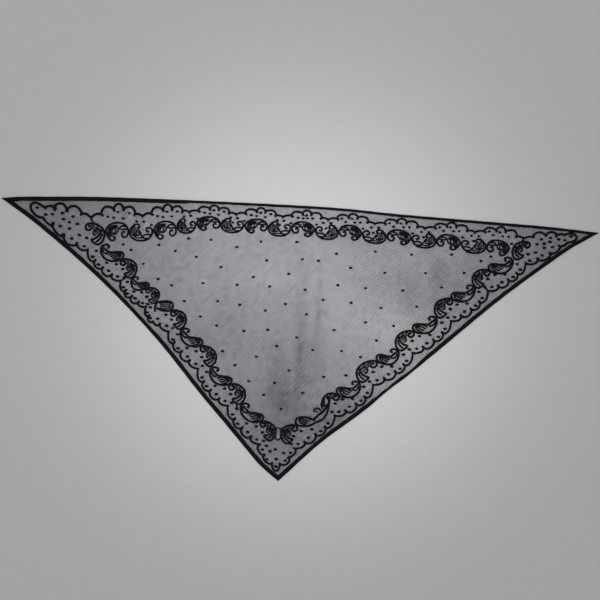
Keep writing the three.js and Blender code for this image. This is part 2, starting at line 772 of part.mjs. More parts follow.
function insideLegs(spot) {
  const leftX = THREE.MathUtils.mapLinear(spot.y, leftTip.y, apex.y, leftTip.x, apex.x);
  const rightX = THREE.MathUtils.mapLinear(spot.y, rightTip.y, apex.y, rightTip.x, apex.x);
  return spot.x > leftX && spot.x < rightX;
}

function dotSpots() {
  const placed = (edgeName, rows) => rows.map(({ along, deep }) => place(edgeName, along, deep));
  return [
    ...unitDots('long', longDots),
    ...unitDots('left', legDots),
    ...unitDots('right', legDots),
    ...placed('left', leftTipDots),
    ...placed('right', rightTipDots),
    ...placed('left', apexDots),
    ...fieldDots(),
  ].filter(clearOfLines).filter(clearOfEarlier);
}

function clearOfEarlier(spot, index, spots) {
  return spots.slice(0, index).every((other) => other.distanceTo(spot) > 3 * dotRadius);
}

// Low four-sided knots, all in one mesh, sunk a little into the net so that they join it
function dotKnots() {
  const positions = [];
  const triangles = [];
  const sink = 0.5;
  dotSpots().forEach(({ x, y }, index) => {
    const base = foldHeight(x, y) + netWall;
    const start = index * 5;
    for (let k = 0; k < 4; k++) {
      const turn = (k * Math.PI) / 2;
      const reach = dotRadius * (1 + sink / dotHeight);
      positions.push(x + reach * Math.cos(turn), y + 0.8 * reach * Math.sin(turn), base - sink);
      triangles.push(start + k, start + ((k + 1) % 4), start + 4);
    }
    positions.push(x, y, base + dotHeight);
    triangles.push(start, start + 2, start + 1, start, start + 3, start + 2);
  });
  return toGeometry(positions, triangles);
}

// ---------------------------------------------------------------- the headscarf

const headscarf = new THREE.Group();

function addPiece(name, geometry, look) {
  geometry.computeVertexNormals();
  const mesh = new THREE.Mesh(geometry, new THREE.MeshStandardMaterial(look));
  mesh.name = name;
  headscarf.add(mesh);
}

addPiece('net_ground', fromManifold(toManifold(netPanel()).add(toManifold(dotKnots()))), blackNet);
addPiece('edge_band_long', band('long', 'leftTip', 'rightTip'), blackThread);
addPiece('edge_band_left', band('left', 'leftTip', 'apex'), blackThread);
addPiece('edge_band_right', band('right', 'rightTip', 'apex'), blackThread);
addPiece('scallop_cord', raisedLine(scallopLine, cordHeight, true), blackThread);
addPiece('garland_long', fromManifold(garland('long')), blackThread);
addPiece('garland_left', fromManifold(garland('left')), blackThread);
addPiece('garland_right', fromManifold(garland('right')), blackThread);
addPiece('apex_stem', raisedLine(stemLine, lineHeight, false), blackThread);

export default headscarf;
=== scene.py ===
# %% [markdown]
# # A black lace headscarf, laid out flat
#
# The scarf is a triangle of tulle, a fine net with six-sided holes. Its three sides are bound with
# dense stitching. Inside the binding runs a scalloped cord, then a garland of leafy scrolls, and
# small satin-stitched dots are scattered over the net.
#
# This lesson builds the bound edge and the net first, then the cord, the scrolls and the dots. They
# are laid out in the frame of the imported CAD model, which is loaded before them, in metres.

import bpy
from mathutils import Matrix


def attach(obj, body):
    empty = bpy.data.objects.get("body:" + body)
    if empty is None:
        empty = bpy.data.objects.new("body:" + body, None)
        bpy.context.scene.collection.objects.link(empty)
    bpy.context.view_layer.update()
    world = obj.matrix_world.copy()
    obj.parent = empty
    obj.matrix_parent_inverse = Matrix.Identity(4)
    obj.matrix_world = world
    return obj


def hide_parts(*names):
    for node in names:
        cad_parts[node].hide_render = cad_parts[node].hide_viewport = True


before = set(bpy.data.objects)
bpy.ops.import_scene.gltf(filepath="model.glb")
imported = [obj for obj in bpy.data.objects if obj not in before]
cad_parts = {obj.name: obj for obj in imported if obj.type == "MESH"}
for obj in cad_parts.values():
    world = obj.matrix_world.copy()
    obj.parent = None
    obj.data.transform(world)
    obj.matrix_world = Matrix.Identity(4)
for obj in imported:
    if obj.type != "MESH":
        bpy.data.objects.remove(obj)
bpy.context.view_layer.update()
print("nodes in the frame:", len(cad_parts))

# %% [markdown]
# ## Tools
#
# numpy works out where many points lie at once, bmesh makes the meshes, and mathutils puts small
# shapes in place. Lace is measured in millimetres, so the tables below are too, and `mm` turns them
# into metres. `add_object` puts each camera, lamp and piece into the scene.

# %% Tools
import math

import bmesh
import bpy
import numpy as np
from mathutils import Matrix, Vector

mm = 0.001


def add_object(name, data):
    made = bpy.data.objects.new(name, data)
    bpy.context.scene.collection.objects.link(made)
    return made


# %% [markdown]
# ## The camera
#
# The scarf is seen from straight above, a little turned, as if one stood over a table.
# A long lens far away keeps the flat cloth free of perspective, so its tips stay sharp.

# %% Camera
lens_length = 85
sensor_width = 36
view_width = 961.6 * mm
view_centre = Vector((7.9, 70.7, 0)) * mm
view_turn = math.radians(3.35)
camera_height = view_width * lens_length / sensor_width

camera_data = bpy.data.cameras.new("overhead_camera")
camera_data.lens = lens_length
camera_data.sensor_width = sensor_width
camera_data.clip_end = 60
camera = add_object("overhead_camera", camera_data)
camera.location = view_centre + Vector((0, 0, camera_height))
camera.rotation_euler = (0, 0, view_turn)
bpy.context.scene.camera = camera
print("camera height in metres:", round(camera_height, 3))

# %% [markdown]
# ## Smooth lines
#
# Every line in lace is a soft curve through a few stops. A Catmull-Rom curve passes through each stop
# and needs no handles, so a motif can be written down as the places that its thread visits. A path's
# run is the distance along it, and its places can be read off at any distance.

# %% Smooth path through stops
def smooth_path(stops, steps=12):
    stops = np.asarray(stops, float)
    padded = np.vstack((stops[:1], stops, stops[-1:]))
    share = np.linspace(0, 1, steps, endpoint=False)[:, None]
    spans = []
    for i in range(len(stops) - 1):
        before, start, end, after = padded[i:i + 4]
        leave = (end - before) / 2
        arrive = (after - start) / 2
        cubic = 2 * start - 2 * end + leave + arrive
        square = 3 * end - 3 * start - 2 * leave - arrive
        spans.append(cubic * share**3 + square * share**2 + leave * share + start)
    return np.vstack((*spans, stops[-1:]))


def run_of(path):
    steps = np.hypot(np.diff(path[:, 0]), np.diff(path[:, 1]))
    return np.concatenate(([0], np.cumsum(steps)))


def read_off(path, run, at):
    return [np.interp(at, run, path[:, k]) for k in (0, 1)]


def soft(share):
    """Eases from 0 to 1."""
    share = np.clip(share, 0, 1)
    return share * share * (3 - 2 * share)


# %% [markdown]
# ## The three sides
#
# The cloth has a long edge and two legs, and none of them is straight: the long edge bulges a little
# and the legs curve inward. A place in the lace border is given by `along`, the distance from the
# side's first corner, and `deep`, the distance inward from its outer edge. With these two numbers a
# motif can be repeated around the scarf and it follows each curve by itself. How far a side bows out
# or in is a table: a share of its straight length, and the millimetres out of line there.

# %% Sides
side_steps = 160
left_tip = np.array([-480.0, 206.0])
right_tip = np.array([480.0, 206.0])
apex = np.array([-10.0, -221.0])


class Side:
    def __init__(self, first, last, outward, bows):
        chord = last - first
        away = outward * np.array([-chord[1], chord[0]]) / np.hypot(*chord)
        stops = [first + chord * at + away * out for at, out in bows]
        self.points = smooth_path([first, *stops, last], side_steps)
        self.run = run_of(self.points)
        self.length = self.run[-1]
        self.outward = outward
        self.slope = np.gradient(self.points, self.run, axis=0)

    def place(self, along, deep):
        along = np.clip(np.asarray(along, float), 0, self.length)
        spot = read_off(self.points, self.run, along)
        slope = read_off(self.slope, self.run, along)
        size = np.hypot(*slope)
        across = self.outward * slope[1] / size
        down = -self.outward * slope[0] / size
        return np.stack((spot[0] + across * deep, spot[1] + down * deep), axis=-1)


sides = {
    "long": Side(left_tip, right_tip, 1, [
        (0.035, 4.0), (0.08, 6.5), (0.17, 11), (0.33, 14.2), (0.5, 15.8),
        (0.58, 14.9), (0.67, 11), (0.83, 7.2), (0.92, 4.8),
    ]),
    "left": Side(left_tip, apex, -1, [
        (0.06, -6.7), (0.12, -12), (0.25, -19.5), (0.39, -22.5),
        (0.54, -19.4), (0.7, -8.8), (0.8, -3.8), (0.87, 0), (0.94, 3.1),
    ]),
    "right": Side(right_tip, apex, 1, [
        (0.05, -5.2), (0.11, -9.2), (0.29, -12.4), (0.48, -8.6), (0.55, -7.2), (0.6, -6.4),
        (0.65, -7.2), (0.71, -5), (0.77, -5.4), (0.82, -6.7), (0.87, -6.6), (0.93, -3.9),
    ]),
}
for name, side in sides.items():
    print(name, "side is", round(side.length), "mm long")

# %% [markdown]
# ## Soft folds
#
# Once unfolded, the net keeps low, long ridges where it was creased, and finer ripples. One function
# gives the height of the cloth at any place, and the net and every thread on it ask that function, so
# the embroidery rides over the folds with the net.

# %% Height of the cloth
# The net lies this high where there is no fold or ripple
net_level = 0.7
# A ridge runs from (x1, y1) to (x2, y2): half its width, and how high it rises
folds = [
    (22, 152, 31, -92, 30, 4.2),
    (-22, 10, -17, -112, 22, 3.0),
    (172, 148, 181, 44, 26, 2.6),
    (224, 152, 226, 98, 22, 2.2),
    (-128, 132, -96, 4, 28, 2.0),
]
# Share of a fold's length over which each end dies away
fold_end = 0.22
ripple_height = 0.22
# Keeps the bottom of the lowest ripple off the floor
ripple_lift = 0.24


def ridge(x, y, fold):
    x1, y1, x2, y2, half_width, rise = fold
    run = np.array([x2 - x1, y2 - y1], float)
    size = np.hypot(*run)
    share = ((x - x1) * run[0] + (y - y1) * run[1]) / size**2
    aside = np.abs((x - x1) * run[1] - (y - y1) * run[0]) / size / half_width
    fade = np.minimum(share, 1 - share) / fold_end
    return rise * soft(fade) * soft(1 - aside)


def cloth_height(x, y):
    height = sum(ridge(x, y, fold) for fold in folds)
    ripple = ripple_height * np.sin(x / 17 + 0.8 * np.sin(y / 41)) * np.sin(y / 53 + x / 160)
    return height + ripple + ripple_lift


print("highest fold:", round(float(cloth_height(26, 40)), 1), "mm")

# %% [markdown]
# ## Rolling a tube
#
# Cords, threads and the bound edge are all long rolls with a flattened section. Blender's grid
# operator makes the faces, with a row for each station along the line and a column for each corner of
# the section. The grid is then rolled up around the line and its two long edges are merged. Its rows
# and columns are kept as a UV map, so that the stitches can follow the thread.

# %% Roll a grid into a tube
thread_section = [(math.cos(a), math.sin(a)) for a in np.linspace(0, 2 * math.pi, 8, endpoint=False)]
thread_pitch = 1.3
# Share of a thread's height that sinks into the cloth
thread_sunk = 0.25
# A grid is made from minus to plus this, so that it is one wide
grid_half = 0.5


def roll_tube(bm, one_edge, other_edge, low, high, section):
    """Edges are rows of (x, y) in millimetres; low and high are heights above the cloth."""
    rings = len(one_edge)
    corners = len(section)
    middle = (one_edge + other_edge) / 2
    half = (one_edge - other_edge) / 2
    base = cloth_height(middle[:, 0], middle[:, 1]) + net_level
    low = base + low
    high = base + high
    spots = np.zeros((rings, corners + 1, 3))
    for k in range(corners + 1):
        aside, up = section[k % corners]
        spots[:, k, :2] = middle + half * aside
        spots[:, k, 2] = (low + high) / 2 + (high - low) / 2 * up
    spots *= mm
    run = run_of(middle) * mm
    uv_layer = bm.loops.layers.uv.verify()
    made = bmesh.ops.create_grid(bm, x_segments=corners, y_segments=rings - 1, size=grid_half)
    cells = {}
    for vert in made["verts"]:
        ring = round((vert.co.y + grid_half) * (rings - 1))
        corner = round((vert.co.x + grid_half) * corners)
        cells[vert] = (ring, corner)
        vert.co = spots[ring, corner]
    for face in {face for vert in made["verts"] for face in vert.link_faces}:
        for loop in face.loops:
            ring, corner = cells[loop.vert]
            loop[uv_layer].uv = (corner / corners, run[ring])


def thread_line(bm, path, wide, tall):
    """Lays one thread with rounded ends along a path of (x, y) stops."""
    run = run_of(path)
    length = run[-1]
    blunt = min(wide / 2, length / 3)
    tip = 0.3 * blunt
    count = max(3, int((length - 2 * blunt) / thread_pitch) + 2)
    inner = np.linspace(blunt, length - blunt, count)
    at = np.concatenate(([0, tip], inner, [length - tip, length]))
    from_end = np.minimum(at, length - at) / blunt
    roundness = np.sqrt(np.clip(1 - (1 - np.clip(from_end, 0, 1)) ** 2, 0, 1))
    spots = np.column_stack(read_off(path, run, at))
    lay_roll(bm, spots, wide * roundness, tall * roundness)


def lay_roll(bm, spots, width, tall, closed=False):
    """Rolls a tube along spots, with a width and a height for each."""
    if closed:
        spots = np.vstack((spots, spots[:1]))
        width = np.append(width, width[0])
        tall = np.append(tall, tall[0])
        ahead = np.roll(spots[:-1], -1, axis=0) - np.roll(spots[:-1], 1, axis=0)
        ahead = np.vstack((ahead, ahead[:1]))
    else:
        ahead = np.gradient(spots, axis=0)
    ahead /= np.maximum(np.linalg.norm(ahead, axis=1), 1e-9)[:, None]
    aside = np.column_stack((-ahead[:, 1], ahead[:, 0])) * width[:, None] / 2
    roll_tube(bm, spots + aside, spots - aside, -thread_sunk * tall, tall, thread_section)


# %% [markdown]
# ## Finishing a piece
#
# A finished piece is a mesh object at the origin, smooth shaded, with one material. Merging doubles
# closes the seam of each tube and gathers its ends to a point. The normals are then made to point
# outward, which is safe here because every roll is closed.

# %% Finish a piece
def merge_doubles(bm, reach):
    bmesh.ops.remove_doubles(bm, verts=bm.verts[:], dist=reach * mm)
    bmesh.ops.dissolve_degenerate(bm, dist=0.001 * mm, edges=bm.edges[:])


def finish_piece(bm, name, material, replaced):
    merge_doubles(bm, 0.002)
    bmesh.ops.recalc_face_normals(bm, faces=bm.faces[:])
    return keep_piece(bm, name, material, replaced)


def keep_piece(bm, name, material, replaced):
    for face in bm.faces:
        face.smooth = True
    mesh = bpy.data.meshes.new(name)
    bm.to_mesh(mesh)
    bm.free()
    mesh.materials.append(material)
    piece = add_object(name, mesh)
    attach(piece, "root")
    if replaced:
        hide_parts(*replaced)
    print(name, "has", len(mesh.polygons), "faces")
    return piece


# %% [markdown]
# ## Shader maths as plain expressions
#
# A Wire wraps one output socket. Adding, multiplying or comparing wires adds the Math nodes that do
# the same, so a pattern reads like the formula on paper. Any other node comes from Finish.node, which
# takes the node's type, its settings, its sockets and the number of the output to use.

# %% Wires and finishes
class Wire:
    def __init__(self, finish, socket):
        self.finish = finish
        self.socket = socket

    def math(self, operation, *others):
        values = dict(enumerate((self, *others)))
        return self.finish.node("ShaderNodeMath", {"operation": operation}, values)

    def __add__(self, other):
        return self.math("ADD", other)

    __radd__ = __add__

    def __mul__(self, other):
        return self.math("MULTIPLY", other)

    def __sub__(self, other):
        return self.math("SUBTRACT", other)

    def __rsub__(self, other):
        return self.finish.node("ShaderNodeMath", {"operation": "SUBTRACT"}, {0: other, 1: self})

    def __truediv__(self, other):
        return self.math("DIVIDE", other)

    def __abs__(self):
        return self.math("ABSOLUTE")

    def wrap(self, size):
        return self.math("FLOORED_MODULO", size)

    def over(self, low, high):
        """0 below low, 1 above high, and smooth between them."""
        return self.finish.node(
            "ShaderNodeMapRange",
            {"interpolation_type": "SMOOTHSTEP"},
            {"Value": self, "From Min": low, "From Max": high},
        )


class Finish:
    def __init__(self, name):
        self.material = bpy.data.materials.new(name)
        self.material.use_nodes = True
        self.tree = self.material.node_tree
        self.shader = self.tree.nodes["Principled BSDF"]

    def node(self, kind, settings=None, sockets=None, out=0):
        made = self.tree.nodes.new(kind)
        for key, value in (settings or {}).items():
            setattr(made, key, value)
        for key, value in (sockets or {}).items():
            self.join(value, made.inputs[key])
        return Wire(self, made.outputs[out])

    def join(self, value, socket):
        if isinstance(value, Wire):
            self.tree.links.new(value.socket, socket)
        else:
            socket.default_value = value

    def set(self, **sockets):
        for key, value in sockets.items():
            self.join(value, self.shader.inputs[key.replace("_", " ")])

    def on_object(self):
        return self.node("ShaderNodeTexCoord", out=3)

    def attribute(self, name):
        return self.node("ShaderNodeAttribute", {"attribute_name": name}, out=2)

    def axes(self, vector):
        parts = self.node("ShaderNodeSeparateXYZ", None, {"Vector": vector})
        return [Wire(self, socket) for socket in parts.socket.node.outputs]

    def noise(self, vector, scale, detail=2.0):
        sockets = {"Vector": vector, "Scale": scale, "Detail": detail}
        return self.node("ShaderNodeTexNoise", None, sockets)

    def blend(self, share, first, second):
        sockets = {"Factor": share, 6: first, 7: second}
        return self.node("ShaderNodeMix", {"data_type": "RGBA"}, sockets, 2)

    def bump(self, height, distance, strength=1.0):
        sockets = {"Height": height, "Distance": distance, "Strength": strength}
        return self.node("ShaderNodeBump", None, sockets)


# %% [markdown]
# ## Tulle
#
# Tulle is knotted in six-sided holes a little over two millimetres apart. The holes could be modelled,
# but tens of thousands of them would make a heavy mesh. Here the sheet is plain and its Alpha
# is cut by a formula: two offset grids of cell centres are compared, the nearer centre is kept, and
# the distance to the edge of its cell says whether a thread lies there. The vertex attribute
# `cover_and_shade` tells how much of the surface is thread. It holds the net's real density, which is
# higher where the net is doubled in a crease, together with painted shade and painted highlight along
# the folds. Where the net is pulled on the bias, the attribute `pull` brings out fine slanting ribs.

# %% Tulle material
hole_pitch = 2.2 * mm
net_turn = math.radians(15)
rib_pitch = 4.7 * mm
rib_cover = 0.2
blotch_cover = 0.36
# How far the threads wander, in cells. Noise scales below are in waves per metre.
wander_reach = 1.2


def hexagon_edge(x, y):
    """Distance from the nearest side of a six-sided cell, in cell widths."""
    tall = math.sqrt(3)
    near_x = x.wrap(1.0) - 0.5
    near_y = y.wrap(tall) - tall / 2
    far_x = (x - 0.5).wrap(1.0) - 0.5
    far_y = (y - tall / 2).wrap(tall) - tall / 2
    near_size = near_x * near_x + near_y * near_y
    far_size = far_x * far_x + far_y * far_y
    nearer = near_size.math("LESS_THAN", far_size)
    cell_x = abs(near_x * nearer + far_x * (1 - nearer))
    cell_y = abs(near_y * nearer + far_y * (1 - nearer))
    reach = cell_x.math("MAXIMUM", cell_x * 0.5 + cell_y * (tall / 2))
    return 0.5 - reach


def tulle_material():
    finish = Finish("black_tulle")
    flat = finish.on_object()
    turned = finish.node(
        "ShaderNodeMapping",
        None,
        {"Vector": flat, "Rotation": (0, 0, net_turn), "Scale": (1 / hole_pitch,) * 3},
    )
    x, y, _ = finish.axes(turned)
    wander = finish.noise(flat, 150)
    drift = finish.noise(flat, 118)
    edge = hexagon_edge(x + wander * wander_reach, y + drift * wander_reach)
    # The thread share read here is the net's density plus painted shade and painted highlight
    cover_and_shade = finish.attribute("cover_and_shade")
    pull = finish.attribute("pull")
    flat_x, flat_y, _ = finish.axes(flat)
    ribs = abs(((flat_x + flat_y + wander * 2 * mm) / rib_pitch).wrap(1.0) - 0.5) * 4 - 1
    cover_and_shade = cover_and_shade + pull * ribs * rib_cover + (finish.noise(flat, 105) - 0.5) * blotch_cover
    half_thread = (1 - (1 - cover_and_shade).math("SQRT")) / 2
    outside = (edge - half_thread).over(-0.02, 0.02)
    round_top = (edge / half_thread).math("MINIMUM", 1.0)
    # Painted sheen: both tones are tinted blue to stand in for the net's blue sheen; noise mixes the two at
    # random
    dark = (0.018, 0.019, 0.032, 1)
    sheen_tinted_light_tone = (0.052, 0.054, 0.09, 1)
    finish.set(
        Base_Color=finish.blend(finish.noise(flat, 340), dark, sheen_tinted_light_tone),
        Roughness=0.62 + finish.noise(flat, 500) * 0.2,
        Alpha=1 - outside,
        Normal=finish.bump(1 - round_top * round_top, 0.08 * mm),
        Specular_IOR_Level=0.25,
    )
    return finish.material


tulle = tulle_material()
print("holes are", round(hole_pitch / mm, 1), "mm apart")

# %% [markdown]
# ## Satin thread
#
# Machine embroidery lays thread over thread, so its surface is a row of fine parallel stitches with a
# silky sheen. The stitches follow the line, so this pattern reads the UV map of the rolled tubes: one
# coordinate runs along the thread and the other around it. The crown of each stitch is coloured
# lighter, a painted highlight that stands in for the sheen, and random fibre tone is mixed in. The bump
# is fine, because the shape itself comes from the mesh.

# %% Thread materials
def thread_material(name, stitch, slant, deep_black, highlight_and_fibre_black, roughness):
    finish = Finish(name)
    place = finish.node("ShaderNodeUVMap")
    around, along, _ = finish.axes(place)
    flat = finish.on_object()
    jitter = finish.noise(flat, 700)
    phase = along / stitch + around * slant + jitter * 0.5
    lane = abs(phase.wrap(1.0) - 0.5) * 2
    crown = 1 - lane * lane
    fibre = finish.noise(flat, 2600, 3.0)
    # Painted highlight: the crown of each stitch is coloured lighter, mixed with random fibre tone
    shade = (crown * 0.6 + fibre * 0.4).over(0.1, 0.95)
    finish.set(
        Base_Color=finish.blend(shade, deep_black, highlight_and_fibre_black),
        Roughness=roughness + fibre * 0.25,
        Normal=finish.bump(crown + fibre * 0.3, 0.16 * mm, 0.8),
        Specular_IOR_Level=0.05,
    )
    return finish.material


satin_thread = thread_material(
    "satin_thread", 0.5 * mm, 0.8, (0.002, 0.002, 0.003, 1), (0.009, 0.009, 0.011, 1), 0.5)
edge_thread = thread_material(
    "edge_thread", 0.8 * mm, 0.5, (0.002, 0.002, 0.003, 1), (0.008, 0.008, 0.009, 1), 0.55)
print("thread materials:", satin_thread.name, edge_thread.name)

# %% [markdown]
# ## The bound edge
#
# Each side is finished with a band of dense stitching, four to seven millimetres wide, that thins in
# places. At the sharp tips a band swept along one line would fold over itself. So it is rolled between
# two lines instead: the outer edge of the cloth, and the band's inner line, which waits in the corner
# where two inner lines meet. That gives each tip its mitre.

# %% Widths of the bound edge
band_height = 2.0
band_sunk = 0.6
# Share of a side that shows which way it leaves its corner
corner_share = 0.03
band_widths = {
    "long": [(0, 7.3), (60, 7), (240, 6.8), (285, 6.2), (305, 4.4), (600, 4.4), (860, 4.8), (961, 4.6)],
    "left": [(0, 7.2), (160, 7), (240, 6.4), (300, 5.9), (330, 6.8), (640, 7.2)],
    "right": [
        (0, 5.8), (100, 6.3), (330, 6.9), (350, 6.2), (372, 4.4), (400, 5.8),
        (420, 4.1), (440, 4.9), (462, 6.8), (540, 6.8), (570, 6.1), (650, 7.2),
    ],
}


def table_value(rows, at):
    places, values = zip(*rows)
    return np.interp(at, places, values)


def band_width(name, along):
    return table_value(band_widths[name], along)


def leaving(name, at_end):
    """A side's corner, and the direction in which the side leaves it."""
    side = sides[name]
    near = corner_share * side.length
    start, ahead = (side.length, side.length - near) if at_end else (0, near)
    corner = side.place(start, 0)
    direction = side.place(ahead, 0) - corner
    return corner, direction / np.hypot(*direction)


def inner_corner(first, last, spare=0.0):
    """Where the inner lines of two bands meet. Each side is (name, whether it ends here)."""
    corner, one = leaving(*first)
    _, two = leaving(*last)
    sine = math.sin(math.acos(float(one @ two)))
    widths = [
        band_width(name, sides[name].length if at_end else 0) - spare
        for name, at_end in (first, last)
    ]
    return corner + one * widths[1] / sine + two * widths[0] / sine


corner_sides = {
    "left_tip": (("long", False), ("left", False)),
    "right_tip": (("long", True), ("right", False)),
    "apex": (("left", True), ("right", True)),
}


def inner_corners(spare=0.0):
    return {name: inner_corner(*pair, spare) for name, pair in corner_sides.items()}


# %% Roll the bound edge
band_section = [
    (-1, 0), (-0.96, 0.62), (-0.78, 0.95), (-0.45, 1), (-0.16, 0.86), (0.16, 0.84),
    (0.45, 1), (0.78, 0.95), (0.96, 0.62), (1, 0), (0.7, -1), (-0.7, -1),
]
band_pitch = 2.2


def band_run(name, first_corner, last_corner):
    """The band's outer and inner lines, both a little uneven."""
    side = sides[name]
    along = np.linspace(0, side.length, int(side.length / band_pitch))
    wobble = 0.16 * np.sin(along / 3.1) + 0.12 * np.sin(along / 7.7 + 1)
    wide = band_width(name, along) + wobble
    outer = side.place(along, 0.1 * np.sin(along / 5.3))
    inner = side.place(along, wide)
    for corner in (first_corner, last_corner):
        tip = side.place(0 if corner is first_corner else side.length, 0)
        reach = np.hypot(*(corner - tip))
        gap = along if corner is first_corner else side.length - along
        inner[gap < reach] = corner
    return outer, inner


def roll_bound_edge():
    corners = inner_corners()
    long_run = band_run("long", corners["left_tip"], corners["right_tip"])
    right_run = band_run("right", corners["right_tip"], corners["apex"])
    left_run = band_run("left", corners["left_tip"], corners["apex"])
    edges = []
    for k in (0, 1):
        edge = np.vstack((long_run[k][:-1], right_run[k][:-1], left_run[k][::-1]))
        edge[-1] = edge[0]
        edges.append(edge)
    bm = bmesh.new()
    roll_tube(bm, *edges, -band_sunk, band_height - net_level, band_section)
    return bm


band_nodes = ("edge_band_long", "edge_band_left", "edge_band_right")
bound_edge = finish_piece(roll_bound_edge(), "bound_edge", edge_thread, band_nodes)

# %% [markdown]
# ## The net
#
# The net is one sheet. It starts as a grid, and each row of the grid is stretched between the two
# legs, so that the last row gathers to the apex, where its vertices are merged. The first rows follow
# the curve of the long edge and the rest straighten out. The sheet is tucked under the bound edge.

# %% Weave the net
net_columns = 240
net_rows = 112
tucked = 1.6
line_samples = 900
# The long edge's bow fades out over the last twelfth of the width at each tip
bow_fade = 12


def net_line(name, along):
    return sides[name].place(along, band_width(name, along) - tucked)


def leg_row_ends(name, heights):
    along = np.linspace(0, sides[name].length, line_samples)
    line = net_line(name, along)
    return np.interp(-heights, -line[:, 1], along)


def net_spots(across, down):
    """Places in the cloth of grid points given by their shares across and down."""
    corner = inner_corners(tucked)
    heights = corner["left_tip"][1] + down * (corner["apex"][1] - corner["left_tip"][1])
    left_end = net_line("left", leg_row_ends("left", heights))
    right_end = net_line("right", leg_row_ends("right", heights))
    share = across[:, None]
    straight = left_end * (1 - share) + right_end * share
    start = corner["left_tip"][0]
    end = corner["right_tip"][0]
    top_line = net_line("long", np.linspace(0, sides["long"].length, line_samples))
    goal_x = start + (end - start) * across
    bow = np.interp(goal_x, top_line[:, 0], top_line[:, 1]) - corner["left_tip"][1]
    from_tip = np.minimum(across, 1 - across)
    straight[:, 1] += bow * (1 - down) ** 2 * np.minimum(1, bow_fade * from_tip)
    straight[down > 0.9999] = corner["apex"]
    return straight


def weave_net():
    bm = bmesh.new()
    bmesh.ops.create_grid(bm, x_segments=net_columns, y_segments=net_rows, size=grid_half)
    grid = np.array([vert.co[:2] for vert in bm.verts])
    spots = net_spots(grid[:, 0] + grid_half, grid_half - grid[:, 1])
    lift = cloth_height(spots[:, 0], spots[:, 1]) + net_level
    for vert, (x, y), z in zip(bm.verts, spots, lift):
        vert.co = Vector((x, y, z)) * mm
    merge_doubles(bm, 0.01)
    return bm


net = keep_piece(weave_net(), "tulle_net", tulle, ("net_ground",))
net_area = sum(face.area for face in net.data.polygons)
print("the net is", round(net_area, 4), "square metres")

# %% [markdown]
# ## How dense the net looks, with painted shade
#
# A net that lies flat shows the floor through it. It looks darker where it is creased, crowded by
# embroidery or pulled out of shape. One number for each vertex says how much of the surface is thread,
# and the tulle material widens its threads to match. That number holds the real density together with
# painted shade, which thickens the threads along crease lines and toward the apex, and painted
# highlight, which thins them along ridges. A second says how much the net is pulled. The places are
# listed.

# %% Thread density of the net, with painted shade and highlight
plain_cover = 0.49
# Net density and painted shade, in soft spots: middle x and y, half-widths across and down,
# and how much each adds
density_and_shade_spots = [
    (-100, 122, 150, 75, -0.085), (60, 110, 48, 90, -0.08), (146, 36, 60, 46, -0.13),
    (190, 140, 62, 42, -0.06), (0, 50, 160, 110, -0.03), (-30, 198, 210, 34, -0.06),
    (205, -5, 85, 60, -0.06), (-15, -150, 95, 70, 0.1), (-400, 190, 80, 60, 0.03),
    (410, 190, 80, 50, 0.02), (-60, -5, 130, 62, 0.07), (70, -110, 32, 36, 0.07),
    (-198, -15, 26, 26, 0.08), (-215, 85, 50, 40, 0.04), (-60, 62, 70, 26, 0.03),
    (250, 95, 42, 32, 0.04), (80, 178, 85, 12, 0.07), (320, 186, 46, 22, -0.05),
    (0, -115, 105, 56, 0.07), (-140, -5, 60, 30, 0.04), (-80, -75, 46, 26, 0.035),
    (122, -98, 30, 26, 0.1), (100, 188, 66, 15, 0.035), (-15, -32, 46, 36, 0.03),
    (40, -125, 24, 22, 0.05),
]
# Bands along crease lines and ridges, in the same terms: painted shade and doubled net where they add,
# painted highlight where they take away
crease_shade_and_highlight = [
    (27, 65, 8, 85, -0.06), (39, 40, 3.5, 62, 0.1), (12, -30, 7, 90, 0.09), (-5, -90, 26, 38, 0.09),
    (-10, -80, 34, 3, 0.07), (-25, 84, 45, 7, 0.04), (-25, 103, 45, 8, -0.04),
    (-135, 128, 28, 2.5, 0.05), (110, 111, 52, 6, 0.04), (135, 64, 16, 5, 0.05),
    (200, 85, 32, 9, 0.035), (224, 100, 7, 60, 0.03),
]
# The pull grows over these distances, from this x to the right and from this y upward
pull_start = (20, -90)
pull_reach = (60, 90)


def patch_value(x, y, patch):
    middle_x, middle_y, half_x, half_y, amount = patch
    gap = ((x - middle_x) / half_x) ** 2 + ((y - middle_y) / half_y) ** 2
    return amount * np.exp(-gap)


def cover_and_shade_at(x, y):
    return plain_cover + sum(patch_value(x, y, patch) for patch in density_and_shade_spots + crease_shade_and_highlight)


places = np.array([vert.co[:2] for vert in net.data.vertices]) / mm
pulled = np.prod(soft((places - pull_start) / pull_reach), axis=1)
# The first attribute holds the net's density together with painted shade and painted highlight
for name, values in (("cover_and_shade", cover_and_shade_at(*places.T)), ("pull", pulled)):
    attribute = net.data.attributes.new(name, "FLOAT", "POINT")
    attribute.data.foreach_set("value", values.astype(np.float32))
print("cover is about", round(plain_cover, 2))

# %% [markdown]
# ## The scalloped cord
#
# A cord some four millimetres wide draws a row of scallops inside the bound edge. Each scallop
# bulges outward from one knob to the next, and the knobs reach deepest where two groups of scallops
# meet. Along the sides the line is worked out scallop by scallop, because the groups repeat. The
# corners have their own arcs, given as places on the cloth. The whole line is rolled as one closed
# tube, and a flat bead is worked over each knob.

# %% Groups of scallops
cord_widths = [(0, 4.4), (260, 4), (310, 3.5), (800, 3.5), (900, 3.8)]
leg_cord_width = 3.7
cord_height = 1.5
cord_pitch = 0.9
# How far the cord's middle stays from the bound edge
cord_room = 1.5
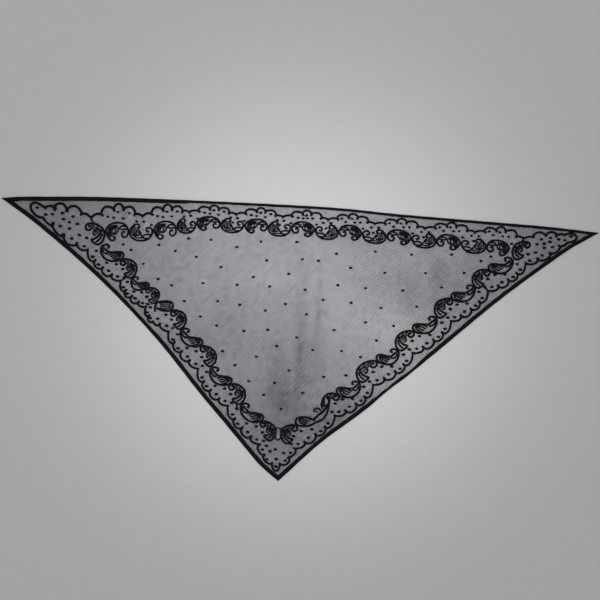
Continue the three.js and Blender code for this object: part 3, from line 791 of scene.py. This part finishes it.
# Share of a group's length, depth of the knob there and of the crest before it, and the knob's lean
long_group = [
    (0.185, 16.2, 15.6, 2.4), (0.434, 11.8, 9, 0.5), (0.625, 11.4, 6.1, 0), (0.86, 16.4, 9, -1.2),
    (1, 18.6, 16.4, 0),
]
leg_group = [(0.283, 16.6, 12.6, 0), (0.515, 16.4, 10.4, 0), (0.765, 18.2, 11, 0), (1, 22.4, 15.4, 0)]
odd_groups = {
    ("left", 288): [(0.26, 15, 12.6, 0), (0.47, 12.4, 10, 0), (0.66, 18.6, 13.4, 0), (1, 22, 17, 0)],
    ("left", 341): [(0.25, 16.6, 12.6, 0), (0.49, 16.2, 10.4, 0), (0.745, 18.2, 11, 0), (1, 21.8, 15.4, 0)],
}
group_ends = {
    "long": [146, 228, 303, 378, 453, 526, 602, 682, 762, 841],
    "left": [159, 231, 288, 341, 416, 493, 573],
    "right": [124, 198, 274, 354, 435, 516, 597],
}
# Place along a side, and how depths are multiplied there (deepening) or moved (shift)
long_deepening = [(130, 1.8), (228, 1.52), (262, 1.45), (303, 1), (780, 1), (838, 1.2)]
side_shift = {
    "long": [(303, 0.3), (400, 0.8), (450, 1.1), (570, 1.1), (610, 0.7), (700, 0.3), (780, 0)],
    "left": [(190, -0.3), (255, -0.6), (315, 0), (380, 1), (450, -0.7), (530, -0.7)],
    "right": [(160, 0.1), (230, 1), (310, 0.8), (395, 0.4), (470, -0.6), (550, -1.5)],
}
# How far the first and last lobes of a group lean toward its ends, and how round a lobe's crest is
end_skew = 1.9
crest_power = 0.52
lobe_steps = 16
arc_steps = 6


def sink(name, along, deep):
    """Depth of a place in a group, adjusted to where it lies along its side."""
    if name == "long":
        deep = deep * table_value(long_deepening, along)
    return deep + table_value(side_shift[name], along)


def knobs_of(name):
    ends = group_ends[name]
    usual = long_group if name == "long" else leg_group
    first = sink(name, ends[0], usual[-1][1])
    knobs = [(ends[0], first, 0, 0)]
    for start, end in zip(ends, ends[1:]):
        for at, knob, crest, lean in odd_groups.get((name, start), usual):
            along = end if at == 1 else start + (end - start) * at
            knobs.append((along, sink(name, along, knob), sink(name, along, crest), lean))
    return knobs


def lobe(name, start, end, skew):
    """Points from one knob up to the next, bulging outward to the crest, which may be off centre."""
    share = np.linspace(0, 1, lobe_steps, endpoint=False)
    along = start[0] + (end[0] - start[0]) * share
    base = start[1] + (end[1] - start[1]) * share
    rise = share ** skew if skew > 1 else 1 - (1 - share) ** (1 / skew)
    deep = base - (base - end[2]) * np.sin(np.pi * rise) ** crest_power
    nearest = band_width(name, along) + cord_room
    return sides[name].place(along, np.maximum(deep, nearest))


def scalloped_side(name):
    knobs = knobs_of(name)
    ends = group_ends[name]
    lobes = []
    for start, end in zip(knobs, knobs[1:]):
        skew = end_skew if start[0] in ends else 1 / end_skew if end[0] in ends else 1
        lobes.append(lobe(name, start, end, skew))
    return np.vstack((*lobes, sides[name].place(knobs[-1][0], knobs[-1][1])))


print("knobs on the long edge:", len(knobs_of("long")))

# %% Arcs of the corners
# Each arc runs from one knob to the next, in x and y on the cloth
corner_arcs = {
    "left_tip": [
        [(-337, 130.8), (-342, 129.8), (-347, 130.6), (-351, 133.4), (-354.3, 138.4)],
        [(-356, 137.2), (-361, 136.8), (-367, 137.8), (-372.5, 141.8), (-376, 148.5)],
        [(-379, 150), (-384.5, 152.5), (-390, 157.5), (-394.4, 164.4)],
        [(-398, 167), (-403, 170), (-408, 175), (-411, 178.6)],
        [(-415, 178.4), (-421, 180.8), (-426.4, 185), (-430.6, 191), (-431.4, 196.6), (-429, 200.4),
         (-424.6, 201.8), (-419, 200.4), (-412.4, 196.8), (-408, 194.8)],
        [(-404, 197), (-400, 198), (-396, 196.8)],
        [(-392, 199.6), (-387, 202.4), (-381.4, 202.4), (-377, 199.8), (-374, 195)],
        [(-371, 196), (-366.4, 199.2), (-360.6, 199.8), (-355.4, 197.4), (-351.6, 193.4), (-349, 188.4)],
        [(-345.4, 188.8), (-341.2, 188), (-337.6, 185.2)],
    ],
    "right_tip": [
        [(365, 192.4), (369.4, 193.6), (374, 193)],
        [(377, 198), (381.4, 200.9), (386.4, 201.2), (391, 199.8), (394.6, 197)],
        [(398.6, 201.2), (403.8, 202.9), (409, 201.8), (412, 198)],
        [(416, 200), (420.4, 200.6), (425, 199.6)],
        [(429.4, 201.6), (434.2, 202.6), (439, 202), (443.2, 199.2), (444.4, 196), (442.8, 192.6),
         (438.6, 189.8), (433.6, 188), (429, 187)],
        [(427, 184), (423.6, 181.8), (419.6, 180.8)],
        [(418, 176.6), (415, 172.6), (411, 169.6), (405, 168)],
        [(403, 163.6), (400, 160.4), (395.4, 157.6), (390.4, 156.4), (385, 157)],
        [(382.6, 152.8), (378.6, 150.4), (374, 149.2), (369.4, 149.4)],
    ],
    "apex": [
        [(14.4, -168), (15.2, -172), (13.6, -176), (10, -179.6), (6, -181.6)],
        [(6, -186.6), (4, -190.8), (0, -193.8), (-4.4, -194.6), (-8.4, -193.6)],
        [(-9.4, -198.6), (-11, -202.6), (-14.6, -204.8), (-18.4, -203), (-21, -198.8), (-22, -194.6)],
        [(-26, -193.8), (-30.6, -192), (-34.4, -188.4), (-36.4, -184.4), (-36, -181)],
        [(-40, -179.4), (-43.4, -176), (-45.8, -171.6), (-46.2, -167.4)],
    ],
}
# Flat beads over the corners' knobs: x, y, how wide and how tall
corner_beads = [
    (-354.5, 140.8, 5, 5.4), (-377, 151.8, 8, 8), (-394, 169.6, 6.2, 7), (-412, 178.6, 4.6, 3.8),
    (-407.4, 194, 4.6, 4.6), (-392.6, 194.6, 6.6, 10.4), (-373, 192, 7.4, 6.6), (-350, 187, 5.6, 4.4),
    (375.4, 192.8, 5, 3.8), (395.4, 196.6, 5.4, 4.6), (411.6, 197, 5.4, 5), (424.6, 199, 4, 4),
    (429, 186.6, 4.4, 4), (417, 182, 5, 4), (403.4, 169, 6.4, 5), (384, 158.6, 6.4, 5.6),
    (4.2, -182.6, 5.4, 6), (-9, -193.2, 5.2, 5), (-21.6, -193, 5.2, 5), (-34.6, -180, 5.4, 5),
]


def scalloped_line():
    corners = {
        name: np.vstack([smooth_path(arc, arc_steps) for arc in arcs])
        for name, arcs in corner_arcs.items()
    }
    return np.vstack((
        scalloped_side("long"),
        corners["right_tip"],
        scalloped_side("right"),
        corners["apex"],
        scalloped_side("left")[::-1],
        corners["left_tip"],
    ))


def even_stations(line, pitch):
    closed = np.vstack((line, line[:1]))
    run = run_of(closed)
    at = np.linspace(0, run[-1], int(run[-1] / pitch), endpoint=False)
    return np.column_stack(read_off(closed, run, at))


scallops = even_stations(scalloped_line(), cord_pitch)
print("the cord has", len(scallops), "stations")

# %% [markdown]
# ## A flat bead
#
# Knobs and dots are little cushions of satin stitch. Each is a low sphere with a few dozen faces,
# squashed to an oval. Its UV map holds the place along the cloth, so the stitches lie side by side.

# %% Make a flat bead
# The height of a bead's middle and half its thickness, as shares of how tall it is
bead_middle = 0.26
bead_half = 0.62


def satin_bead(bm, spot, wide, deep, tall, turn=0.0):
    x, y = spot
    base = float(cloth_height(x, y)) + net_level
    place = Matrix.Translation(Vector((x, y, base + bead_middle * tall)) * mm)
    size = Matrix.Diagonal((wide / 2 * mm, deep / 2 * mm, bead_half * tall * mm, 1))
    matrix = place @ Matrix.Rotation(turn, 4, "Z") @ size
    made = bmesh.ops.create_uvsphere(bm, u_segments=9, v_segments=6, radius=1, matrix=matrix)
    uv_layer = bm.loops.layers.uv.verify()
    for face in {face for vert in made["verts"] for face in vert.link_faces}:
        for loop in face.loops:
            loop[uv_layer].uv = (0, loop.vert.co.x)


# %% Roll the cord
# Beads over the knobs, and over the cusps between groups: width, depth, and how far past the line
knob_bead = (4.8, 5.8, 1.2)
cusp_bead = (3.6, 5.0, 0.6)
bead_height = 1.9
# A leaning bead is this much shallower for each millimetre that it leans
lean_loss = 0.5
# The cord belongs to the long edge where it passes near one of the posts set along that edge
post_places = np.linspace(0, 961, 97)
post_pitch = 10.0
post_depth = 12.0
post_reach = 26
stroke_height = 1.2
# Short strokes that join the cord to the garland
short_strokes = [
    ("long", 3.0, [(144.5, 32), (146, 37), (150, 42)]),
    ("long", 3.0, [(841, 20), (840.5, 24), (838.5, 28)]),
    ("left", 2.8, [(231, 22), (232, 27), (233.5, 32)]),
    ("left", 2.8, [(498.5, 37), (502, 32.5), (507.5, 31)]),
    ("right", 2.8, [(198, 21), (198.5, 28), (199.5, 34)]),
]


def turn_at(name, along):
    ahead = sides[name].place(along + 1, 0) - sides[name].place(along - 1, 0)
    return math.atan2(ahead[1], ahead[0])


def bead_knobs(bm, name):
    for along, knob, _, lean in knobs_of(name):
        wide, deep, past = cusp_bead if along in group_ends[name] else knob_bead
        spot = sides[name].place(along + lean, knob + past)
        satin_bead(bm, spot, wide, deep - abs(lean) * lean_loss, bead_height, turn_at(name, along))


def roll_cord():
    bm = bmesh.new()
    posts = sides["long"].place(post_places, post_depth)
    gaps = np.linalg.norm(scallops[:, None] - posts[None], axis=2)
    wide = np.where(
        gaps.min(axis=1) < post_reach,
        table_value(cord_widths, gaps.argmin(axis=1) * post_pitch),
        leg_cord_width,
    )
    lay_roll(bm, scallops, wide, np.full(len(scallops), cord_height), closed=True)
    for name, wide, stops in short_strokes:
        thread_line(bm, sides[name].place(*smooth_path(stops).T), wide, stroke_height)
    for name in sides:
        bead_knobs(bm, name)
    for x, y, wide, deep in corner_beads:
        satin_bead(bm, (x, y), wide, deep, bead_height)
    return bm


cord = finish_piece(roll_cord(), "scalloped_cord", satin_thread, ("scallop_cord",))

# %% [markdown]
# ## The leafy scrolls
#
# Between the scallops and the open net runs a garland. A scroll that opens inward, the hood, takes
# turns with one that opens outward, the cradle. Each has an outer rim that curls in at one end, and a
# heavy leaf at the other. Every scroll is written once, in millimetres, as it is drawn in a box of its
# own: first the distance along the side and then the depth. A leaf is a fan of strands between its two
# outlines, so thin slits of net show between them.

# %% Strands of each scroll
rim_width = 3.3
leaf_width = 2.8
vein_width = 2.1
leg_weight = 1.12
drawn_size = {
    "hood": (40, 22.6),
    "cradle": (38.6, 24),
    "leg_hood": (38.8, 25),
    "leg_cradle": (39.4, 24),
    "leg_leaf": (26.2, 24),
    "joining": (79.6, 26),
}
# A line is (width, stops); a fan is (width, how many strands, first outline, last outline)
scroll_lines = {
    "hood": [
        (rim_width, [
            (12.5, 17.6), (16.3, 18.1), (17, 20.6), (14, 22.4), (10, 21.9), (6, 19), (3, 15), (1.7, 11.6),
            (3.4, 7.8), (7.4, 4.2), (13, 1.7), (19, 0.8), (26, 0.8), (32, 2.4), (36.5, 5.6), (38.6, 10.1),
            (38, 14.6), (35, 17.7), (31, 18), (28.3, 15.6), (28.6, 12.6), (31.5, 11.2), (33.6, 12.8),
        ]),
        (leaf_width, [(14, 14.8), (18, 14.2), (21, 11.4), (22.8, 8), (25.8, 5.4), (30, 4.4), (35, 5.2)]),
        (leaf_width, [(23, 6.8), (27, 8.4), (31, 8.8), (34.6, 7.8), (38, 9.4)]),
        (vein_width, [(5.6, 9), (10.6, 5.4), (16, 4), (22, 4.4)]),
        (vein_width, [(13.2, 13.8), (16.6, 12.4), (17.8, 9.6), (16.2, 7.6)]),
    ],
    "cradle": [
        (rim_width, [
            (12.6, 5.4), (15.2, 6.8), (16.4, 4.2), (14.1, 1.8), (9.6, 2.1), (5.1, 5.5), (2, 9.5), (1.6, 13),
            (3.1, 17.5), (7.1, 21.1), (13.6, 23.2), (21.6, 23.4), (29.1, 21.8), (34.4, 17.8), (37, 12.5),
            (36.4, 8), (32.8, 5.6), (28.8, 6.3), (27.4, 9.2), (29.4, 11.4), (32.4, 10.2),
        ]),
        (leaf_width, [(14.1, 8.4), (17.1, 11), (19.2, 14.8), (21.6, 18.4), (25.6, 20.4), (30.6, 20)]),
        (leaf_width, [(21.6, 17.8), (25.1, 15.6), (29.6, 14.9), (33.6, 15), (36.6, 13.2)]),
        (vein_width, [(8.6, 18.8), (13, 19.9), (18, 19.8), (23, 19.6)]),
        (vein_width, [(12.8, 11.6), (15.8, 12.8), (16.6, 16), (14.6, 17.7)]),
    ],
    "leg_hood": [
        (rim_width, [
            (8.3, 14), (10.6, 15.4), (10, 18), (6.8, 18.4), (3.8, 16), (2, 12.4), (1.8, 8.5), (4, 5),
            (8.3, 1.8), (13.8, 0), (19.3, -0.3), (24.8, 1.2), (30.3, 4.8), (35.3, 10), (38, 15.8),
            (38, 21), (35.6, 24.4), (31.4, 24.4), (27.4, 21.6), (23.4, 17.6), (19.4, 13.6), (15.8, 11),
            (10.8, 10.5), (3.3, 10.2),
        ]),
        (leaf_width, [(4.3, 7.8), (7.8, 5.9), (11.8, 5.2), (15.3, 7), (17, 9.6)]),
    ],
    "leg_cradle": [
        (rim_width, [
            (7, 11.4), (6.6, 13.6), (9.2, 14.9), (11.6, 13), (11.2, 9.6), (8, 7.6), (4.2, 8.6), (2.2, 11.8),
            (3.4, 15.4), (7.4, 19), (12.8, 22), (18.3, 23.5), (24.3, 23.5), (29.8, 21.6), (34.4, 17.4),
            (37.4, 11.6), (38, 5.8), (35.6, 2), (31.3, 0.6), (23.3, 0.8), (26.2, 5.4), (27.4, 11), (27, 17),
            (25, 22),
        ]),
        (leaf_width, [(30.3, 2.7), (32, 7), (31.8, 12.5), (29.2, 18.4)]),
        (leaf_width, [(17.4, 15), (18, 10.8), (21.2, 8.8), (24.4, 10.4)]),
        (vein_width, [(11.8, 16.5), (14.8, 14.6), (17.8, 15)]),
        (vein_width, [(8.8, 17.4), (12.8, 18.4), (16.3, 17.4), (18.3, 19.4), (15, 21.6)]),
    ],
    "joining": [
        (rim_width, [
            (6.2, 15), (5.2, 18), (8.2, 20), (10.7, 17), (9.2, 13), (5.7, 11), (2.2, 12.5), (1.2, 16.5),
            (3.2, 21), (7.2, 25), (12.2, 27.5), (18.2, 28), (24.2, 26.5), (29.2, 23), (33.2, 18), (34.7, 13),
        ]),
        (rim_width, [
            (17.7, 21), (21.7, 14.5), (27.2, 8.5), (34.2, 3), (42.2, 0.2), (50.2, 0.8), (56.2, 3.4),
        ]),
        (rim_width, [
            (56.2, 2.5), (62.2, 3.5), (68.2, 6), (74.2, 11), (78.2, 16.5), (78.7, 21.5), (75.7, 25),
            (71.2, 25.4), (66.2, 22.5), (61.2, 17.5), (57.7, 12.5), (55.7, 8),
        ]),
        (3.8, [(23.7, 16), (29.2, 11.4), (37.2, 9.2), (45.7, 9.2), (52, 8.6), (57, 6.4)]),
        (leaf_width, [(38.2, 11), (38.7, 15.5), (41.2, 19.5), (45.2, 20.5), (47.7, 17.5)]),
        (vein_width, [(42.7, 13.5), (45.2, 16.5), (46.7, 18.5)]),
        (vein_width, [(9.7, 21), (13.2, 19), (16.2, 20)]),
        (vein_width, [(8.2, 23), (12.2, 24), (15.2, 22.5)]),
        (vein_width, [(22.2, 26.5), (26.2, 21), (29.2, 15), (31.2, 11.5)]),
        (vein_width, [(24.7, 23.5), (28.7, 19), (31.7, 14.5)]),
    ],
    "leg_leaf": [
        (rim_width, [
            (10.3, -5.8), (4.8, -0.3), (1.8, 5.7), (3.8, 10.2), (7.8, 16.2), (12.8, 21.7), (17.8, 23.8),
            (22.8, 21), (24.4, 15.7), (23.1, 10.7), (18.8, 6.2), (12.8, 2.2), (6.8, 0.2),
        ]),
    ],
}
scroll_fans = {
    "hood": [
        (1.9, 4,
         [(10.4, 19.4), (6.4, 16), (5.2, 11.6), (9, 7.4), (14.6, 5.6), (20, 5)],
         [(13.8, 15.4), (12, 13), (12.4, 10.2), (14.8, 8), (18.6, 7.2), (21.6, 7.6)]),
    ],
    "cradle": [
        (1.9, 4,
         [(9.8, 4.4), (6, 7.2), (4.4, 11.4), (5.6, 15.4), (9.6, 18.2)],
         [(13.4, 8.2), (12.2, 10.6), (12, 13.6), (14, 16.4), (16.6, 17.8)]),
    ],
    "leg_hood": [
        (2.8, 4,
         [(19.6, 7), (21.2, 12), (25, 18), (30.4, 22.6)],
         [(30.2, 6.8), (33, 11.5), (34.2, 17), (33, 22.6)]),
    ],
    "leg_cradle": [
        (2.2, 3,
         [(18.8, 11.4), (18.4, 15.6), (19.6, 20.8)],
         [(23.4, 11.4), (23.8, 16), (23, 21.2)]),
    ],
    "leg_leaf": [
        (2.2, 4,
         [(5.2, 8.4), (9.4, 14.2), (13.8, 19.2), (17.8, 21.8)],
         [(10.4, 3.8), (15.8, 7.4), (20, 12.2), (21, 18.2)]),
    ],
    "joining": [
        (2.2, 3,
         [(14.7, 18), (14.2, 22), (16.2, 26)],
         [(20.2, 13), (18.7, 19), (20.2, 26)]),
        (2.7, 4,
         [(58.2, 9), (60.5, 14.5), (64.4, 20), (69.4, 23.6)],
         [(68.2, 8.6), (71.4, 13), (73.4, 18), (72, 23.4)]),
    ],
}

# %% [markdown]
# The boxes below say where each scroll lies: its start and end along the side, and its near and far
# depth. They are given one by one, so they are not quite even. On the long edge the scrolls past the
# middle turn round and carry their leaves on the other side. In two places on the legs the repeats
# don't meet, so an odd leaf or a longer joining scroll fills the gap.

# %% Boxes of the scrolls
scroll_boxes = {
    "long": [
        (168, 207.4, 39.6, 69.4), (207, 246.4, 39.8, 68.6), (246, 284.2, 34.6, 64),
        (283.6, 314.6, 28.4, 53.4), (314, 354, 24.6, 47), (353.4, 392, 25, 49), (391.4, 430, 25, 47.8),
        (429.4, 468, 26.2, 50.8), (467.4, 506.6, 25.6, 48.8), (506, 545.4, 26.8, 51.8),
        (544.8, 584, 25.6, 48.8), (583.4, 623.4, 26.6, 50.8), (622.8, 662.4, 24.8, 48),
        (661.8, 702.4, 26, 50.4), (701.8, 741.8, 25.8, 49.4), (741.2, 782.8, 27.6, 52.4),
        (782.2, 820.6, 28, 52.2),
    ],
    "left": [
        (130, 169, 36.5, 63.5), (171, 208.4, 30.5, 56.4), (207.6, 241, 33.2, 58.4),
        (240.2, 268, 28.3, 51.2), (267.2, 294, 31.8, 54), (293.2, 319.4, 33, 57.4),
        (318.6, 351, 35.5, 60), (350.2, 389, 31, 55.4), (389, 426.8, 36.5, 60), (426.8, 468, 29.6, 54),
        (467.2, 504.6, 33.4, 58.6), (503.8, 545.6, 30.3, 54.6), (545.4, 580.6, 34.8, 57.8),
    ],
    "right": [
        (99, 135, 33.3, 56), (136.6, 176.6, 29.6, 54.4), (175.8, 211, 34.7, 58.7),
        (210.2, 249.6, 31.6, 56), (248.8, 287.6, 36.5, 60.5), (288, 329.8, 31.8, 56.6),
        (329.6, 369.6, 36.2, 60), (368.8, 409.2, 30.4, 55.4), (409, 448, 35, 59.2),
        (448.2, 491.2, 28.6, 54.2), (490.8, 570.4, 28.4, 54.4), (569.6, 603, 32.8, 57),
    ],
}
leg_turns = ("leg_cradle", "leg_hood")
scroll_turns = {"long": ("hood", "cradle"), "left": leg_turns, "right": leg_turns}
odd_scrolls = {("left", 5): "leg_leaf", ("right", 10): "joining", ("right", 11): "leg_cradle"}
# Past this place on the long edge, scrolls and dots are turned round
heavy_turn = 467
# A scroll this long or longer has strands of full width
full_scroll = 33
scroll_steps = 8
thread_height = 1.1
# A fan's strands are this many times as high as single lines
fan_lift = 1.05

# %% Stitch the garlands
def in_box(name, box, stops):
    """Places on the cloth for stops given in a scroll's own box."""
    kind, start, end, near, far = box
    drawn_long, drawn_deep = drawn_size[kind]
    share = stops[:, 0] / drawn_long
    if name == "long" and start >= heavy_turn:
        share = 1 - share
    deep = near + (far - near) * stops[:, 1] / drawn_deep
    return sides[name].place(start + (end - start) * share, deep)


def stitch_scroll(bm, name, box):
    """Stitches one scroll and returns the paths of its strands."""
    kind, start, end = box[:3]
    slim = 1.0 if kind == "leg_leaf" else min(1.0, (end - start) / full_scroll)
    weight = slim * (1.0 if name == "long" else leg_weight)
    paths = []
    for wide, stops in scroll_lines[kind]:
        paths.append(in_box(name, box, smooth_path(stops, scroll_steps)))
        thread_line(bm, paths[-1], wide * weight, thread_height)
    for wide, count, *outlines in scroll_fans[kind]:
        first, last = [smooth_path(stops, scroll_steps) for stops in outlines]
        for share in np.linspace(0, 1, count):
            paths.append(in_box(name, box, first * (1 - share) + last * share))
            thread_line(bm, paths[-1], wide * slim, thread_height * fan_lift)
    return paths


garland_paths = []
for name, boxes in scroll_boxes.items():
    bm = bmesh.new()
    for number, box in enumerate(boxes):
        kind = odd_scrolls.get((name, number), scroll_turns[name][number % 2])
        garland_paths += stitch_scroll(bm, name, (kind, *box))
    finish_piece(
        bm, "leaf_garland_" + name, satin_thread, ("garland_" + name,))

# %% [markdown]
# ## The bud over the apex
#
# Where the two garlands meet above the apex, a small upright oval joins them. It is stitched like the
# scrolls, as a ring of thread, in places on the cloth.

# %% Stitch the bud
bud_ring = [
    (-14.6, -135.6), (-17.8, -137.4), (-19, -141.6), (-19, -149), (-17.6, -153.2), (-14.4, -155),
    (-11.2, -153.2), (-10, -149), (-10, -141.6), (-11.4, -137.4), (-14.6, -135.6),
]
bud_width = 2.8
bm = bmesh.new()
thread_line(bm, smooth_path(bud_ring), bud_width, thread_height)
bud = finish_piece(bm, "apex_bud", satin_thread, ("apex_stem",))

# %% [markdown]
# ## The satin dots
#
# The dots are small ovals of padded satin stitch. In the border they follow the scallops, and over the
# open net they lie loosely in slanting rows, with their places listed one by one. A dot is left out
# where it would touch a thread or another dot.

# %% Places of the dots
dot_length = 6.7
dot_width = 4.6
small_dot_share = 0.86
dot_height = 1.3
# Least distances from a dot's middle to the middle of a thread and of another dot
thread_room = 2.7
dot_room = 4.6
# How much dots differ in size, and in how they are turned, in radians
dot_change = 0.07
dot_sway = 0.15
# In a group of scallops: share of its length, and depth
long_dots = [
    (0.325, 18.5), (0.44, 19.6), (0.52, 14), (0.625, 20.6), (0.74, 15.3),
    (0.89, 24), (0.94, 32), (1.03, 24.5), (1.18, 28.2),
]
turned_dots = [
    (0.29, 15.2), (0.377, 20.2), (0.51, 14.2), (0.574, 19.7), (0.69, 18.9), (0.764, 28.3),
    (0.937, 24.8), (0.99, 33), (1.09, 24.3),
]
middle_dots = [
    (0.2, 28.4), (0.34, 18.5), (0.45, 19.5), (0.52, 14.2), (0.547, 18.7), (0.657, 18.6), (0.75, 28),
    (0.9, 24.5), (0.97, 33), (1.07, 24),
]
leg_dots = [
    (0.19, 19.2), (0.16, 30.2), (0.395, 16.2), (0.505, 27.4), (0.655, 20.2),
    (0.68, 36.4), (0.85, 38), (0.885, 23.8), (1.005, 30.2),
]
odd_leg_dots = [
    (0.15, 17.5), (0.34, 15), (0.1, 26.5), (0.28, 31), (0.5, 23), (0.57, 37), (0.79, 38.5), (0.83, 26),
    (1, 30.5),
]
small_leg_dots = [
    (0.175, 18), (0.15, 28.5), (0.377, 15.4), (0.465, 25.2), (0.62, 18.9), (0.635, 33.2), (0.816, 34.6),
    (0.86, 22.4), (0.98, 27.4),
]
odd_dots = {("long", 453): middle_dots, ("left", 231): small_leg_dots, ("left", 288): odd_leg_dots}
# The rest: x and y on the cloth
corner_dots = [
    (-421, 194), (-407, 183.5), (-396, 184.5), (-380, 187.5), (-363, 183), (-378, 178), (-368, 173.5),
    (-355, 171.5), (-382.5, 166.5), (-367.5, 163.5), (-363, 147.5), (-351, 154), (-339, 150),
    (-342, 136.5), (435.5, 198), (425.5, 191), (416, 192), (402.5, 193.5), (402, 187), (388, 190.5),
    (393, 183.5), (382, 182), (394, 177), (406.5, 179), (380, 168.5), (368.5, 165.5), (391, 164.5),
    (371.5, 155), (352, 148.5), (357.5, 140), (-37, -158), (-32, -165.5), (-38, -172), (-26, -174),
    (-17.5, -170.5), (-4, -175.5), (7, -174.5), (-30, -187), (-15.5, -186), (-1, -187.5), (-15, -198),
    (7.5, -160.5),
]
field_dots = [
    (-280, 143), (-267, 135), (-246, 114), (-221, 91), (-199, 82), (-223, 145.5), (-196, 137.5),
    (-176, 158.5), (-140, 158.5), (-98, 149.5), (-162, 130), (-121.5, 116), (-149, 88.5), (-94, 89),
    (-177, 58), (-123.5, 61), (-88, 57.5), (-150, 35), (-123, 22), (-60, 160.5), (-2.5, 163), (8, 136),
    (34, 135), (-49, 131), (-12.5, 111.5), (-69, 103), (-42, 89.5), (15, 87.5), (45, 73), (62, 148),
    (124, 155), (86, 127), (141, 122), (67, 98), (111.5, 95.5), (90, 71), (138, 65.5), (-15, 63),
    (19.5, 48.5), (-46.5, 50.5), (115, 41), (65.5, 26), (-41, 20), (182, 153.5), (246, 157.5), (309, 158),
    (294, 150), (206, 125.5), (268, 129.5), (233, 104), (171, 95.5), (195, 71), (160, 38), (-79, 16),
    (6.5, 10.5), (-25, -5), (33, -8), (-111, -18.5), (-56.5, -24), (-90, -39.5), (-3, -43), (-25, -64),
    (-66, -64), (21, -77.5), (-41.5, -84.5), (-12, -105), (134, 13), (79, -7), (110, -15), (53, -50),
    (88.5, -45.5),
]


def group_dots(name):
    ends = group_ends[name]
    spots = []
    for start, end in zip(ends, ends[1:]):
        usual = leg_dots if name != "long" else turned_dots if start > heavy_turn else long_dots
        for at, deep in odd_dots.get((name, start), usual):
            along = start + (end - start) * at
            spots.append(sides[name].place(along, sink(name, along, deep)))
    return spots


thread_points = np.vstack((scallops, *garland_paths))


def nearest_gap(points, spot):
    return np.linalg.norm(points - spot, axis=1).min()


def clear_dots(spots):
    """Leaves out each dot that would touch a thread or a dot before it."""
    kept = []
    for spot in np.array(spots, float):
        if nearest_gap(thread_points, spot) < thread_room:
            continue
        if kept and nearest_gap(np.array(kept), spot) < dot_room:
            continue
        kept.append(spot)
    return kept


small_dots = clear_dots(field_dots + group_dots("long"))
full_dots = clear_dots(corner_dots + group_dots("left") + group_dots("right"))
print("dots:", len(small_dots) + len(full_dots))

# %% Stitch the dots
bm = bmesh.new()
for number, spot in enumerate(small_dots + full_dots):
    grow = 1 + dot_change * math.sin(number * 2.9)
    if number < len(small_dots):
        grow *= small_dot_share
    turn = dot_sway * math.sin(number * 1.3)
    satin_bead(bm, spot, dot_length * grow, dot_width * grow, dot_height, turn)

dots = keep_piece(bm, "satin_dots", satin_thread, ())

# %% [markdown]
# ## One sheet of cloth
#
# The net was cut as a single triangle, and everything else is stitched onto it.

# %% [markdown]
# ## Floor and light
#
# The scarf lies on a plain pale floor. Soft pools of light over it are brightest in the middle and
# fall off toward the corners, and a faint even light fills the rest.

# %% Floor
def floor_material():
    finish = Finish("pale_floor")
    flat = finish.on_object()
    grain = finish.noise(flat, 60, 4.0)
    finish.set(
        Base_Color=finish.blend(grain, (0.55, 0.55, 0.555, 1), (0.58, 0.58, 0.585, 1)),
        Roughness=0.85,
        Specular_IOR_Level=0.1,
    )
    return finish.material


floor_half = 9
floor_mesh = bpy.data.meshes.new("floor")
bm = bmesh.new()
bmesh.ops.create_grid(bm, x_segments=2, y_segments=2, size=floor_half)
bm.to_mesh(floor_mesh)
bm.free()
floor_mesh.materials.append(floor_material())
floor = add_object("floor", floor_mesh)

# %% Lights
light_height = 3.0
softbox_power = 34
softbox_aside = (-0.4, 0.5)
# Power in watts, and radius on the floor
pools = {"wide_pool": (100, 0.49), "narrow_pool": (72, 0.3)}
fill_strength = 0.35


def hang_light(name, kind, power, aside=(0, 0)):
    data = bpy.data.lights.new(name, kind)
    data.energy = power
    light = add_object(name, data)
    light.location = view_centre + Vector((*aside, light_height))
    toward = view_centre - light.location
    light.rotation_euler = toward.to_track_quat("-Z", "Y").to_euler()
    return data


softbox = hang_light("softbox", "AREA", softbox_power, softbox_aside)
softbox.shape = "DISK"
softbox.size = 2.2
# A pool is a spot whose cone fades smoothly to nothing at its radius
for name, (power, radius) in pools.items():
    pool = hang_light(name, "SPOT", power)
    pool.spot_size = 2 * math.atan(radius / light_height)
    pool.spot_blend = 1
    pool.shadow_soft_size = 0.15

world = bpy.data.worlds.new("studio")
world.use_nodes = True
background = world.node_tree.nodes["Background"]
background.inputs["Color"].default_value = (1, 1, 1, 1)
background.inputs["Strength"].default_value = fill_strength
bpy.context.scene.world = world
bpy.context.scene.view_settings.view_transform = "Standard"
print("lights are in place")
